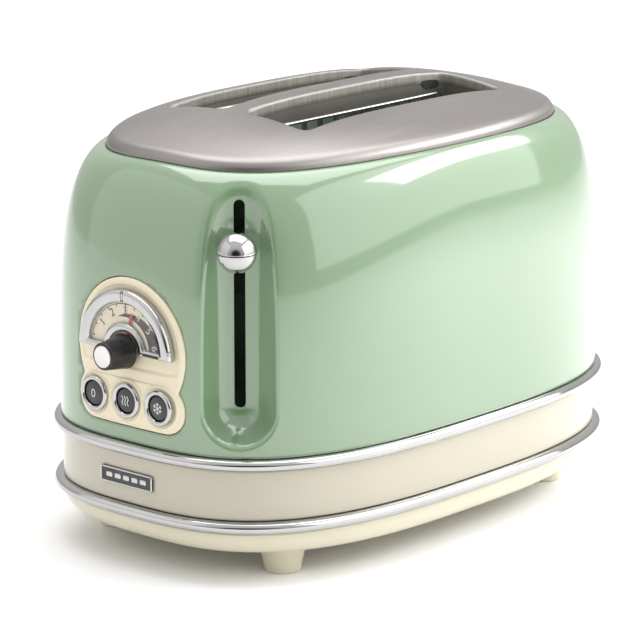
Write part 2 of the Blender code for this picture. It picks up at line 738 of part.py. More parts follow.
def bezel_outline():
    start = math.asin((BEZEL_BAR_LOW - DIAL_HEIGHT) / BEZEL_RADIUS)
    return arc((0.0, DIAL_HEIGHT), BEZEL_RADIUS, start, math.pi - start, 24)


def round_outline(centre, radius, steps=FINE_SIDES):
    return arc(centre, radius, 0, 2 * math.pi * (1 - 1 / steps), steps - 1)


def control_panel():
    panel = slab("control_panel", panel_outline(), CUT_NEAR, CUT_FAR, PANEL_TURN, PANEL_CREAM)
    keep(panel, body_block("panel_face", PANEL_PROUD))
    cut(panel, body_block("panel_back", PANEL_PROUD - PANEL_DEPTH))
    cut(panel, slab("dial_seat", dial_window(DIAL_FIT), THROUGH_NEAR, THROUGH_FAR, PANEL_TURN))
    hole = KNOB_SHAFT_RADIUS + JOINT_GAP
    outline = round_outline((0, DIAL_HEIGHT), hole)
    cut(panel, slab("shaft_hole", outline, THROUGH_NEAR, THROUGH_FAR, PANEL_TURN))
    for place_y in (-1, 0, 1):
        centre = (place_y * BUTTON_PITCH, BUTTON_HEIGHT)
        outline = round_outline(centre, BUTTON_RADIUS + BUTTON_FIT)
        cut(panel, slab(f"button_hole_{place_y}", outline, THROUGH_NEAR, THROUGH_FAR, PANEL_TURN))


def clear_of_panel(piece):
    """Shapes the back of a piece to lie on the panel's curved face."""
    cut(piece, body_block(piece.name + "_seat", PANEL_PROUD + JOINT_GAP))


def dial():
    bezel = slab("dial_bezel", bezel_outline(), CUT_NEAR, BEZEL_FRONT, PANEL_TURN, CHROME)
    cut(bezel, slab("bezel_window", dial_window(), THROUGH_NEAR, THROUGH_FAR, PANEL_TURN))
    knob_room = round_outline((0, DIAL_HEIGHT), COLLAR_HOLE, 24)
    cut(bezel, slab("knob_room", knob_room, THROUGH_NEAR, THROUGH_FAR, PANEL_TURN))
    pocket = round_outline((0, DIAL_HEIGHT), POINTER_POCKET, 24)
    pocket_front = POINTER_BACK + POINTER_THICK + 2 * JOINT_GAP
    cut(bezel, slab("pointer_pocket", pocket, THROUGH_NEAR, pocket_front, PANEL_TURN))
    clear_of_panel(bezel)
    slab("dial_face", dial_window(), WALL_END - DIAL_FACE_THICK, WALL_END, PANEL_TURN, PANEL_CREAM)
    lens_out = LENS_BACK + LENS_THICK
    slab("dial_lens", dial_window(-DIAL_FIT), LENS_BACK, lens_out, PANEL_TURN, CLEAR)


def knob():
    axis = (-KNOB_BACK, 0, DIAL_HEIGHT)
    grip = [(0, KNOB_LENGTH), (KNOB_TIP_RADIUS - KNOB_EDGE, KNOB_LENGTH)]
    grip += [(KNOB_TIP_RADIUS, KNOB_LENGTH - KNOB_EDGE), (KNOB_BASE_RADIUS, 1.5 * KNOB_EDGE)]
    grip += [(KNOB_BASE_RADIUS, 0), (0, 0)]
    turned("browning_knob", grip, axis, BLACK)
    cap_back = KNOB_BACK + KNOB_LENGTH + JOINT_GAP / 3
    cap = [(0, KNOB_CAP_THICK - JOINT_GAP / 3), (KNOB_CAP_RADIUS, KNOB_CAP_THICK - JOINT_GAP / 3)]
    cap += [(KNOB_CAP_RADIUS, 0), (0, 0)]
    turned("knob_cap", cap, (-cap_back, 0, DIAL_HEIGHT), WHITE)
    inner_end = -CONTROL_BOARD_X + POT_DEPTH + 2 * JOINT_GAP
    shaft = [(0, KNOB_BACK - JOINT_GAP - inner_end)]
    shaft += [(KNOB_SHAFT_RADIUS, KNOB_BACK - JOINT_GAP - inner_end), (KNOB_SHAFT_RADIUS, 0), (0, 0)]
    turned("knob_shaft", shaft, (-inner_end, 0, DIAL_HEIGHT), TINPLATE, 16)


def pointer():
    """A thin disc on the shaft, hidden by the collar, with the red mark reaching into the window."""
    centre = (0, DIAL_HEIGHT)
    front = POINTER_BACK + POINTER_THICK
    disc = slab("dial_pointer", round_outline(centre, POINTER_DISC), POINTER_BACK, front, PANEL_TURN, RED)
    root = DIAL_HEIGHT + POINTER_DISC / 2
    outline = rounded(POINTER_HALF_WIDTH, root, DIAL_HEIGHT + POINTER_REACH, POINTER_HALF_WIDTH / 2)
    mark = slab("pointer_mark", outline, POINTER_BACK, front, PANEL_TURN)
    pivot = Matrix.Translation((0, 0, DIAL_HEIGHT))
    mark.matrix_basis = pivot @ Matrix.Rotation(POINTER_TILT, 4, "X") @ pivot.inverted() @ mark.matrix_basis
    join(disc, mark)
    hole = round_outline(centre, KNOB_SHAFT_RADIUS + JOINT_GAP)
    cut(disc, slab("pointer_hole", hole, CUT_NEAR, CUT_FAR, PANEL_TURN))


def buttons():
    """Three stemmed buttons in chrome rings: cancel, reheat and defrost."""
    switch_top = -CONTROL_BOARD_X + SWITCH_DEPTH + JOINT_GAP
    for name, side in (("cancel", -1), ("reheat", 0), ("defrost", 1)):
        centre = (side * BUTTON_PITCH, BUTTON_HEIGHT)
        outline = round_outline(centre, BUTTON_RING_RADIUS, 24)
        ring = slab(f"{name}_button_ring", outline, CUT_NEAR, BUTTON_RING_FRONT, PANEL_TURN, CHROME)
        hole = round_outline(centre, BUTTON_RADIUS + BUTTON_FIT)
        cut(ring, slab(f"{name}_ring_hole", hole, THROUGH_NEAR, THROUGH_FAR, PANEL_TURN))
        clear_of_panel(ring)
        stem_end = switch_top + BUTTON_TRAVEL + JOINT_GAP
        length = BUTTON_FRONT - stem_end
        shape = [(0, length), (BUTTON_RADIUS - BUTTON_EDGE, length), (BUTTON_RADIUS, length - BUTTON_EDGE)]
        shape += [(BUTTON_RADIUS, length - BUTTON_HEAD), (BUTTON_STEM_RADIUS, length - BUTTON_HEAD)]
        shape += [(BUTTON_STEM_RADIUS, 0), (0, 0)]
        turned(f"{name}_button", shape, (-stem_end, -centre[0], BUTTON_HEIGHT), BLACK, FINE_SIDES)
        y = -centre[0]
        half = SWITCH_SIZE / 2
        low = (-switch_top + JOINT_GAP, y - half, BUTTON_HEIGHT - half)
        high = (CONTROL_BOARD_X - JOINT_GAP, y + half, BUTTON_HEIGHT + half)
        box(f"{name}_switch", low, high, BLACK)


def badge():
    middle = (BAND_FOOT + BAND_TOP) / 2
    low = middle - BADGE_HEIGHT / 2
    outline = rounded(BADGE_LENGTH / 2, low, low + BADGE_HEIGHT, BADGE_CORNER, -BADGE_Y)
    plate = slab("badge_plate", outline, CUT_NEAR, CUT_FAR, PANEL_TURN, CHROME)
    keep(plate, band_block("badge_face", JOINT_GAP + BADGE_PROUD, BAND_FOOT - FAR, BAND_TOP + FAR))
    cut(plate, band_block("badge_back", JOINT_GAP, BAND_FOOT - FAR, BAND_TOP + FAR))


# --- electronics ---------------------------------------------------------------------------
def control_board():
    low = (CONTROL_BOARD_X, -CONTROL_BOARD_HALF, CONTROL_BOARD_LOW)
    high = (CONTROL_BOARD_X + BOARD_THICK, CONTROL_BOARD_HALF, CONTROL_BOARD_HIGH)
    box("control_board", low, high, BOARD)
    back = (CONTROL_BOARD_X - JOINT_GAP, 0, DIAL_HEIGHT)
    rod("browning_control", back, (CONTROL_BOARD_X - POT_DEPTH, 0, DIAL_HEIGHT), POT_RADIUS, TINPLATE)


def magnet():
    """An upright E core on the power board, its coil, and the plate on the carriage it holds."""
    board_top = POWER_BOARD_Z + BOARD_THICK
    board_high = (POWER_BOARD_X[1], POWER_BOARD_HALF, board_top)
    box("power_board", (POWER_BOARD_X[0], -POWER_BOARD_HALF, POWER_BOARD_Z), board_high, BOARD)
    foot = board_top + JOINT_GAP
    head = CARRIAGE_LOW - CARRIAGE_DOWN - ARMATURE_THICK - 3 * JOINT_GAP
    half_x = MAGNET_DEPTH / 2
    low = (MAGNET_X - half_x, -MAGNET_HALF, foot)
    core = box("magnet_core", low, (MAGNET_X + half_x, MAGNET_HALF, head), TINPLATE)
    for side in (-1, 1):
        middle = side * MAGNET_HALF / 2
        gap = MAGNET_ROOM / 2
        room_low = (MAGNET_X - FAR, middle - gap, foot + MAGNET_YOKE)
        cut(core, box(f"coil_room_{side}", room_low, (MAGNET_X + FAR, middle + gap, head + FAR)))
    reach = MAGNET_HALF / 2 + MAGNET_ROOM / 2 - JOINT_GAP
    coil_low = (MAGNET_X - half_x - COIL_OVERHANG, -reach, foot + MAGNET_YOKE + JOINT_GAP)
    coil_high = (MAGNET_X + half_x + COIL_OVERHANG, reach, head - COIL_TOP_GAP)
    coil = box("magnet_coil", coil_low, coil_high, COPPER)
    leg = MAGNET_HALF / 2 - MAGNET_ROOM / 2 + JOINT_GAP
    leg_low = (MAGNET_X - half_x - JOINT_GAP, -leg, foot)
    cut(coil, box("core_room", leg_low, (MAGNET_X + half_x + JOINT_GAP, leg, head + FAR)))
    plate_top = CARRIAGE_LOW - JOINT_GAP
    plate_low = (MAGNET_X - half_x, -MAGNET_HALF, plate_top - ARMATURE_THICK)
    box("armature", plate_low, (MAGNET_X + half_x, MAGNET_HALF, plate_top), TINPLATE)
    block_low = (MAGNET_X + half_x + JOINT_GAP, TERMINAL_Y[0], foot)
    block_high = (POWER_BOARD_X[1] - JOINT_GAP, TERMINAL_Y[1], foot + TERMINAL_HEIGHT)
    box("terminal_block", block_low, block_high, BLACK)


# --- oven ----------------------------------------------------------------------------------
def oven_ends():
    """Four upright sheets kept inside the shell; the front one has the lifters' slots and two shelves."""
    room = body_block("oven_room", -OVEN_CLEARANCE, True)
    low = (-OVEN_OUTSIDE, -OVEN_HALF_WIDTH, OVEN_LOW)
    front = box("oven_end_front", low, (-OVEN_HALF_LENGTH, OVEN_HALF_WIDTH, OVEN_HIGH), TINPLATE)
    reach = -OVEN_OUTSIDE - SHELF_REACH
    half = ROD_Y + 2 * ROD_RADIUS
    for name, z in (("upper_shelf", SHELF_HIGH), ("lower_shelf", SHELF_LOW - SHEET)):
        join(front, box(name, (reach, -half, z), (-OVEN_HALF_LENGTH - SHEET / 2, half, z + SHEET)))
    slot_low = LIFTER_LOWEST - LIFTER_ROOM
    slot_high = LIFTER_HEIGHT + CARRIAGE_UP + LIFTER_ROOM
    half = LIFTER_HALF_WIDTH + LIFTER_ROOM / 4
    for side in (-1, 1):
        y = side * SLOT_CENTRE_Y
        slot_near = (-OVEN_OUTSIDE - SHEET, y - half, slot_low)
        cut(front, box(f"lifter_slot_{side}", slot_near, (-OVEN_HALF_LENGTH + SHEET, y + half, slot_high)))
    high = (OVEN_OUTSIDE, OVEN_HALF_WIDTH, OVEN_HIGH)
    rear = box("oven_end_rear", (OVEN_HALF_LENGTH, -OVEN_HALF_WIDTH, OVEN_LOW), high, TINPLATE)
    keep(front, room)
    keep(rear, room)
    end = OVEN_HALF_LENGTH - JOINT_GAP
    for name, side in (("near", -1), ("far", 1)):
        inner = side * REFLECTOR_Y
        outer_y = side * (REFLECTOR_Y + SHEET)
        low = (-end, min(inner, outer_y), SHELF_LOW)
        sheet = box(f"reflector_{name}", low, (end, max(inner, outer_y), OVEN_HIGH), TINPLATE)
        keep(sheet, room)


def heaters():
    for name, y in (("near", -HEATER_Y), ("centre", 0), ("far", HEATER_Y)):
        half = HEATER_THICK / 2
        low = (-HEATER_HALF_LENGTH, y - half, HEATER_LOW)
        box(f"heater_board_{name}", low, (HEATER_HALF_LENGTH, y + half, HEATER_HIGH), MICA)


def guide_path():
    """A wire bent up and down in equal runs, as (along, up) places from its lower edge."""
    pitch = 2 * GUIDE_HALF_LENGTH / (GUIDE_RUNS - 1)
    turn = pitch / 4
    points = []
    for run in range(GUIDE_RUNS):
        x = -GUIDE_HALF_LENGTH + run * pitch
        ends = (0, GUIDE_HIGH - GUIDE_LOW) if run % 2 == 0 else (GUIDE_HIGH - GUIDE_LOW, 0)
        lean = turn if run % 2 == 0 else -turn
        first = (x, ends[0] + lean)
        points += [(x - turn, ends[0]), first] if run else [(x, ends[0])]
        last = (x, ends[1] - lean)
        points += [last, (x + turn, ends[1])] if run < GUIDE_RUNS - 1 else [(x, ends[1])]
    return points


def bread_guides():
    for name, side in (("near", -1), ("far", 1)):
        middle = side * SLOT_CENTRE_Y
        for edge, out in (("outer", side), ("inner", -side)):
            y = middle + out * GUIDE_OPEN
            points = [(x, 0, up) for x, up in guide_path()]
            guide = wire(f"bread_guide_{name}_{edge}", points, GUIDE_WIRE, WIRE)
            guide.location = (0, y, GUIDE_LOW)


# --- carriage ------------------------------------------------------------------------------
def carriage():
    """A pressed plate with two sleeves on the guide rods and a tab that the spring hooks to."""
    low = (CARRIAGE_X, -CARRIAGE_HALF, CARRIAGE_LOW)
    plate = box("carriage", low, (CARRIAGE_X + SHEET, CARRIAGE_HALF, CARRIAGE_HIGH), TINPLATE)
    for side in (-1, 1):
        y = side * ROD_Y
        foot = (ROD_X, y, CARRIAGE_LOW + SLEEVE_INSET)
        head = (ROD_X, y, CARRIAGE_HIGH - SLEEVE_INSET)
        join(plate, rod(f"sleeve_{side}", foot, head, SLEEVE_RADIUS, sides=FINE_SIDES))
        low = (CARRIAGE_X + SHEET / 2, y - ROD_RADIUS, CARRIAGE_LOW + SLEEVE_INSET)
        join(plate, box(f"sleeve_web_{side}", low, (ROD_X, y + ROD_RADIUS, CARRIAGE_HIGH - SLEEVE_INSET)))
        bore = ROD_RADIUS + ROD_FIT
        ends = ((ROD_X, y, CARRIAGE_LOW - SHEET), (ROD_X, y, CARRIAGE_HIGH + SHEET))
        cut(plate, rod(f"sleeve_bore_{side}", *ends, bore, sides=FINE_SIDES))
    tab_low = (CARRIAGE_X + SHEET / 2, -SPRING_TAB_HALF, SPRING_TAB_Z)
    tab_high = (ROD_X + SPRING_TAB_HALF, SPRING_TAB_HALF, SPRING_TAB_Z + SHEET)
    join(plate, box("spring_tab", tab_low, tab_high))


def lifters():
    for name, side in (("near", -1), ("far", 1)):
        y = side * SLOT_CENTRE_Y
        half = LIFTER_HALF_WIDTH
        start = CARRIAGE_X + SHEET + JOINT_GAP
        low = (start, y - half, LIFTER_HEIGHT - SHEET)
        box(f"bread_lifter_{name}", low, (LIFTER_END_X, y + half, LIFTER_HEIGHT), TINPLATE)


def rods_and_spring():
    foot = SHELF_LOW + JOINT_GAP
    head = SHELF_HIGH - JOINT_GAP
    for name, side in (("near", -1), ("far", 1)):
        y = side * ROD_Y
        rod(f"guide_rod_{name}", (ROD_X, y, foot), (ROD_X, y, head), ROD_RADIUS, WIRE, sides=FINE_SIDES)
    low = SPRING_TAB_Z + SHEET + JOINT_GAP + SPRING_WIRE
    high = SHELF_HIGH - JOINT_GAP - SPRING_WIRE
    steps = SPRING_TURNS * 8
    points = []
    for step in range(steps + 1):
        angle = 2 * math.pi * step / 8
        z = low + (high - low) * step / steps
        points.append((SPRING_RADIUS * math.cos(angle), SPRING_RADIUS * math.sin(angle), z))
    spring = wire("carriage_spring", points, SPRING_WIRE, WIRE, 0)
    spring.location = (ROD_X, 0, 0)


def lever():
    """A flat arm from the carriage out through the corner's slot, and a ball in two halves."""
    half = LEVER_ARM_THICK / 2
    out = LEVER_BALL_OUT - LEVER_BALL_RADIUS - JOINT_GAP
    low = (LEVER_SIDE - half, LEVER_HEIGHT - LEVER_ARM_TALL / 2, TROUGH_FLOOR - FAR)
    high = (LEVER_SIDE + half, LEVER_HEIGHT + LEVER_ARM_TALL / 2, out)
    arm = box("lever_arm", low, high, TINPLATE, LEVER_TURN)
    face = CARRIAGE_X - JOINT_GAP
    end_low = (face, -RING_PLAN[1], LEVER_HEIGHT - LEVER_ARM_TALL)
    cut(arm, box("arm_end", end_low, (face + FAR, RING_PLAN[1], LEVER_HEIGHT + LEVER_ARM_TALL)))
    centre = LEVER_ACROSS * LEVER_SIDE + LEVER_OUT * LEVER_BALL_OUT + Vector((0, 0, LEVER_HEIGHT))
    for name, side in (("lower", -1), ("upper", 1)):
        work = bmesh.new()
        bmesh.ops.create_uvsphere(work, u_segments=24, v_segments=16, radius=LEVER_BALL_RADIUS)
        ball = place(f"lever_ball_{name}", mesh_of(name, work), CHROME)
        ball.location = centre
        edge = side * JOINT_GAP / 2
        low = centre + Vector((-FAR, -FAR, min(edge, side * FAR)))
        high = centre + Vector((FAR, FAR, max(edge, side * FAR)))
        keep(ball, box(f"ball_half_{name}", low, high))


# --- crumb tray and cord inlet -------------------------------------------------------------
def crumb_tray():
    """A shallow tray whose end follows the band, and the piece of the band that pulls it out."""
    fit = BASE_WALL + JOINT_GAP + WINDOW_CLEARANCE
    tray = band_block("crumb_tray", -fit, TRAY_LOW, TRAY_WALL_HIGH, TINPLATE)
    low = (TRAY_INNER_X, -TRAY_HALF_WIDTH, 0)
    keep(tray, box("tray_sides", low, (CUT_FAR, TRAY_HALF_WIDTH, HIGH_ABOVE)))
    pocket = band_block("tray_pocket", -fit - TRAY_SHEET, TRAY_LOW + TRAY_SHEET, TRAY_WALL_HIGH + FAR)
    inner_low = (TRAY_INNER_X + TRAY_SHEET, TRAY_SHEET - TRAY_HALF_WIDTH, 0)
    keep(pocket, box("pocket_sides", inner_low, (CUT_FAR, TRAY_HALF_WIDTH - TRAY_SHEET, HIGH_ABOVE)))
    cut(tray, pocket)
    front = slab("crumb_tray_front", tray_window(0), -CUT_FAR, -CUT_NEAR, PANEL_TURN, CREAM)
    keep(front, band_block("tray_front_face", 0, 0, HIGH_ABOVE))
    cut(front, band_block("tray_front_back", -BASE_WALL, -FAR, HIGH_ABOVE + FAR))
    lip_low = (BAND_PLAN[0] - BASE_WALL / 2, -TRAY_LIP_HALF, TRAY_LIP_LOW)
    lip_high = (RING_PLAN[0] - JOINT_GAP, TRAY_LIP_HALF, TRAY_LIP_LOW + TRAY_LIP_THICK)
    join(front, box("tray_lip", lip_low, lip_high))


def cord_gland():
    """The bush that lines the cord's hole; the cord itself isn't part of this model."""
    length = BAND_PLAN[0] - GLAND_INNER
    shape = [(GLAND_BORE, length), (GLAND_RADIUS, length), (GLAND_RADIUS, GLAND_FLANGE_THICK)]
    shape += [(GLAND_FLANGE, GLAND_FLANGE_THICK), (GLAND_FLANGE, 0), (GLAND_BORE, 0)]
    gland = turned("cord_gland", shape, (GLAND_INNER, 0, GLAND_HEIGHT), RUBBER, FINE_SIDES)
    gland.rotation_euler = (0, math.pi / 2, 0)


casing()
top_plate()
chrome_ring("upper_chrome_ring", UPPER_RING_Z)
chrome_ring("lower_chrome_ring", LOWER_RING_Z)
base_band()
base_pan()
feet()
control_panel()
dial()
knob()
pointer()
buttons()
badge()
control_board()
magnet()
oven_ends()
heaters()
bread_guides()
carriage()
lifters()
rods_and_spring()
lever()
crumb_tray()
cord_gland()
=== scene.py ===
import math

import bmesh
import bpy
import numpy as np
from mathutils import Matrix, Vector


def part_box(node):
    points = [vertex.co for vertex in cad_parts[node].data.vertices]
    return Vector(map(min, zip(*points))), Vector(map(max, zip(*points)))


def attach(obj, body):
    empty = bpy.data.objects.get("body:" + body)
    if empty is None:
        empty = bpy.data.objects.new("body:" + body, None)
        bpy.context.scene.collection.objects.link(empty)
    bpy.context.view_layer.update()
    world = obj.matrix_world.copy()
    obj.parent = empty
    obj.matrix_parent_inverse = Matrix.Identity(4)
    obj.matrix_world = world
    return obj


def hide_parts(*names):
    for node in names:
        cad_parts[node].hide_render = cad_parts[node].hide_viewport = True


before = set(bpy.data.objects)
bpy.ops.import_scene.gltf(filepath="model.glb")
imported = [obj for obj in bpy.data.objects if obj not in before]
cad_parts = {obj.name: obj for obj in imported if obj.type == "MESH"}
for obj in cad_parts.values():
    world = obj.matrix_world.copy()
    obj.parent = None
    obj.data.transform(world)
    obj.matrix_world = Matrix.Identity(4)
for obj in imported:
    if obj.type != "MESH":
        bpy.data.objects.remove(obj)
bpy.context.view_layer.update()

# --- Camera, floor and lights -------------------------------------------------------------
# A long lens a little above the toaster's shoulder, turned towards the corner with the lever.
# The toaster stands on a plain white studio floor in the light of large soft boxes.
ring_low, ring_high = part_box("upper_chrome_ring")
middle = Vector(((ring_low.x + ring_high.x) / 2, 0, 0))
view_turn = math.radians(-48.52)
view_tilt = math.radians(14.08)
aim_aside = 0.0078
aim_height = 0.0949
camera_distance = 1.7215
view_right = Vector((math.cos(view_turn), math.sin(view_turn), 0))
view_back = Vector(
    (
        math.sin(view_turn) * math.cos(view_tilt),
        -math.cos(view_turn) * math.cos(view_tilt),
        math.sin(view_tilt),
    )
)
view_target = middle - view_right * aim_aside + Vector((0, 0, aim_height))
camera_data = bpy.data.cameras.new("studio_camera")
camera_data.sensor_width = 36
camera_data.lens = 191.4
camera = bpy.data.objects.new("studio_camera", camera_data)
camera.location = view_target + view_back * camera_distance
camera.rotation_euler = view_back.to_track_quat("Z", "Y").to_euler()
bpy.context.scene.collection.objects.link(camera)
bpy.context.scene.camera = camera
bpy.context.scene.view_settings.view_transform = "Standard"


def soft_box(name, place, aim, size, power):
    """A rectangular soft light that faces the place it is aimed at."""
    data = bpy.data.lights.new(name, "AREA")
    data.shape = "RECTANGLE"
    data.size, data.size_y = size
    data.energy = power
    made = bpy.data.objects.new(name, data)
    made.location = place
    facing = Vector(place) - Vector(aim)
    made.rotation_euler = facing.to_track_quat("Z", "Y").to_euler()
    bpy.context.scene.collection.objects.link(made)


soft_box("overhead_box", (0.2, 0.1, 1.5), (0, 0, 0), size=(1.8, 1.4), power=19)
soft_box("left_box", (-1.3, 0.9, 0.7), (0, 0, 0.1), size=(1.8, 1.6), power=3.6)
soft_box("right_box", (0.70, -1.30, 0.78), (0, 0, 0.1), size=(2.3, 1.5), power=15)
soft_box("right_floor_box", (0.62, -0.55, 0.55), (0.5, -0.45, 0), size=(0.7, 0.5), power=5)

# The sky is seen as plain white.  It lights the toaster more from above than from the
# horizon, and hardly at all from a round patch in front, where the studio is dark.
sky_horizon, sky_top = (0.58, 0.57, 0.56, 1), (0.95, 0.95, 0.96, 1)
sky_top_height = 0.8
dark_side = (-0.80, -0.60, 0)
dark_edge, dark_core, dark_strength = 0.80, 0.97, 0.06
world = bpy.data.worlds.new("studio")
world.use_nodes = True
bpy.context.scene.world = world
sky = world.node_tree
sky.nodes.clear()
sky_out = sky.nodes.new("ShaderNodeOutputWorld")
sky_mix = sky.nodes.new("ShaderNodeMixShader")
sky_seen = sky.nodes.new("ShaderNodeBackground")
sky_seen.inputs["Color"].default_value = (1, 1, 1, 1)
sky_lit = sky.nodes.new("ShaderNodeBackground")
sky_rays = sky.nodes.new("ShaderNodeLightPath")
sky_coords = sky.nodes.new("ShaderNodeTexCoord")
sky_split = sky.nodes.new("ShaderNodeSeparateXYZ")
sky_ramp = sky.nodes.new("ShaderNodeValToRGB")
sky_ramp.color_ramp.elements[0].color = sky_horizon
sky_ramp.color_ramp.elements[1].position = sky_top_height
sky_ramp.color_ramp.elements[1].color = sky_top
sky_front = sky.nodes.new("ShaderNodeVectorMath")
sky_front.operation = "DOT_PRODUCT"
sky_front.inputs[1].default_value = dark_side
sky_dim = sky.nodes.new("ShaderNodeMapRange")
sky_dim.interpolation_type = "SMOOTHSTEP"
sky_dim.inputs["From Min"].default_value = dark_edge
sky_dim.inputs["From Max"].default_value = dark_core
sky_dim.inputs["To Min"].default_value = 1.0
sky_dim.inputs["To Max"].default_value = dark_strength
sky.links.new(sky_coords.outputs["Generated"], sky_front.inputs[0])
sky.links.new(sky_front.outputs["Value"], sky_dim.inputs["Value"])
sky.links.new(sky_dim.outputs["Result"], sky_lit.inputs["Strength"])
sky.links.new(sky_coords.outputs["Generated"], sky_split.inputs[0])
sky.links.new(sky_split.outputs["Z"], sky_ramp.inputs["Fac"])
sky.links.new(sky_ramp.outputs["Color"], sky_lit.inputs["Color"])
sky.links.new(sky_rays.outputs["Is Camera Ray"], sky_mix.inputs["Fac"])
sky.links.new(sky_lit.outputs[0], sky_mix.inputs[1])
sky.links.new(sky_seen.outputs[0], sky_mix.inputs[2])
sky.links.new(sky_mix.outputs[0], sky_out.inputs["Surface"])

floor_size, floor_middle = 4.0, (0.6, 0.4, 0)
bpy.ops.mesh.primitive_plane_add(size=floor_size, location=floor_middle)
floor = bpy.context.object
floor.name = "studio_floor"
floor_paint = bpy.data.materials.new("floor_paper")
floor_paint.use_nodes = True
floor_shader = floor_paint.node_tree.nodes["Principled BSDF"]
floor_shader.inputs["Base Color"].default_value = (0.93, 0.93, 0.93, 1)
floor_shader.inputs["Roughness"].default_value = 0.75
floor_shader.inputs["Specular IOR Level"].default_value = 0.2
floor.data.materials.append(floor_paint)


# --- Enamelled shell ----------------------------------------------------------------------
# One deep-drawn steel shell, sprayed with a glossy mint enamel.  It rises straight from the
# upper ring, rolls in over the shoulder to the top plate's seam, and has a hollow pressed
# down its near corner for the lever.
wall_low, wall_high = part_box("body_shell")
seam_low, seam_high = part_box("top_plate")
# Each plan is a half length, a half width and the powers along the two.
wall_plan = np.array([(wall_high.x - wall_low.x) / 2, wall_high.y, 2.85, 3.00])
seam_plan = np.array([(seam_high.x - seam_low.x) / 2, seam_high.y, 2.12, 2.79])
crown_height = 0.21615
crown_drop = (0.01564, 0.01441)
crown_power, crown_middle_power = 2.15, 3.2
edge_roll = 0.0040
seam_gap = 0.0004
shell_foot = wall_low.z
shell_gauge = 0.0009
shoulder_power = 1.06


def plan(turn, sizes, grow=0.0):
    """Superellipse: each coordinate is its half size times a power of the cosine or sine of turn."""
    c, s = np.cos(turn), np.sin(turn)
    half_x, half_y, power_x, power_y = np.moveaxis(np.asarray(sizes), -1, 0)
    x = np.sign(c) * np.abs(c) ** (2 / power_x) * (half_x + grow)
    y = np.sign(s) * np.abs(s) ** (2 / power_y) * (half_y + grow)
    return np.stack([x, y], -1)


def crown(x, y):
    """Height of the top plate's dome: its middle height less a power law along each axis.

    The power along X is higher in the middle than at the seam, so the slots' edges run straight.
    """
    far_x, far_y = np.abs(x / seam_plan[0]), np.abs(y / seam_plan[1])
    near_seam = np.clip(far_x ** seam_plan[2] + far_y ** seam_plan[3], 0, 1) ** 2
    middle_fall = far_x**crown_middle_power
    fall = middle_fall + (far_x**crown_power - middle_fall) * near_seam
    return crown_height - crown_drop[0] * fall - crown_drop[1] * far_y**crown_power


def soft_min(a, b, reach):
    """The lower of two values, rounded off where they are closer than reach."""
    share = np.clip(0.5 + 0.5 * (b - a) / reach, 0, 1)
    return b + (a - b) * share - reach * share * (1 - share)


def mesh_from(name, points, faces):
    """A mesh of points and of faces that all have the same number of corners."""
    mesh = bpy.data.meshes.new(name)
    points = np.asarray(points, np.float32)
    faces = np.asarray(faces, np.int32)
    mesh.vertices.add(len(points))
    mesh.vertices.foreach_set("co", points.ravel())
    mesh.loops.add(faces.size)
    mesh.loops.foreach_set("vertex_index", faces.ravel())
    mesh.polygons.add(len(faces))
    mesh.polygons.foreach_set("loop_start", np.arange(len(faces), dtype=np.int32) * faces.shape[1])
    mesh.update(calc_edges=True)
    mesh.validate()
    return mesh


def grid_faces(rows, columns, round_rows=False, round_columns=False):
    """Quads of a grid of points, with its last row or column joined to its first where asked."""
    row = np.arange(rows if round_rows else rows - 1)[:, None]
    column = np.arange(columns if round_columns else columns - 1)[None, :]
    next_row = (row + 1) % rows
    next_column = (column + 1) % columns
    corners = (row * columns + column, row * columns + next_column)
    corners += (next_row * columns + next_column, next_row * columns + column)
    return np.stack([np.broadcast_to(c, (row.size, column.size)) for c in corners], -1).reshape(-1, 4)


def trimmed(faces, distance, flat):
    """Keeps the faces whose middle has a negative distance, and moves their rim onto its zero line.

    flat gives each point's two coordinates in the plane that distance is measured in.  The rim
    takes three steps down the distance's slope there.  Gives the kept faces, the rim's points
    and their new flat places.
    """
    kept = faces[distance(flat[faces].mean(1)) < 0]
    edges = np.sort(np.stack([kept, np.roll(kept, -1, 1)], -1).reshape(-1, 2), 1)
    pairs, count = np.unique(edges, axis=0, return_counts=True)
    rim = np.unique(pairs[count == 1])
    longest_move = 0.003
    rim = rim[np.abs(distance(flat[rim])) < longest_move]
    moved = flat[rim].copy()
    step = 1e-5
    for _ in range(3):
        here = distance(moved)
        slope = np.stack(
            [(distance(moved + np.array(d)) - here) / step for d in ((step, 0), (0, step))], -1
        )
        length = np.maximum((slope**2).sum(-1, keepdims=True), 1e-6)
        moved -= slope * here[:, None] / length
    return kept, rim, moved


def compact(points, faces):
    """Leaves out the points that no face uses, and numbers the others anew."""
    used, index = np.unique(faces, return_inverse=True)
    return points[used], index.reshape(faces.shape)


def box_distance(flat, centre, half, radius):
    """Signed distance to a rounded rectangle: the distance beyond its inner box, less the radius."""
    q = np.abs(flat - np.array(centre)) - (np.array(half) - radius)
    return np.hypot(*np.maximum(q, 0).T) + np.minimum(q.max(-1), 0) - radius


def read_all(items, name):
    """One three-part attribute of all of a mesh's vertices or faces, a row for each."""
    values = np.empty(len(items) * 3)
    items.foreach_get(name, values)
    return values.reshape(-1, 3)


def outward_faces(mesh):
    """Joins points that coincide, and turns the faces to agree with each other."""
    work = bmesh.new()
    work.from_mesh(mesh)
    bmesh.ops.remove_doubles(work, verts=work.verts, dist=1e-6)
    bmesh.ops.recalc_face_normals(work, faces=work.faces)
    work.to_mesh(mesh)
    work.free()
    mesh.shade_smooth()


def agree_with(mesh, outside):
    """Flips the whole mesh if the face nearest to the outside point doesn't face it."""
    away = np.array(outside) - read_all(mesh.polygons, "center")
    nearest = np.argmin((away**2).sum(-1))
    if (read_all(mesh.polygons, "normal")[nearest] * away[nearest]).sum() < 0:
        mesh.flip_normals()


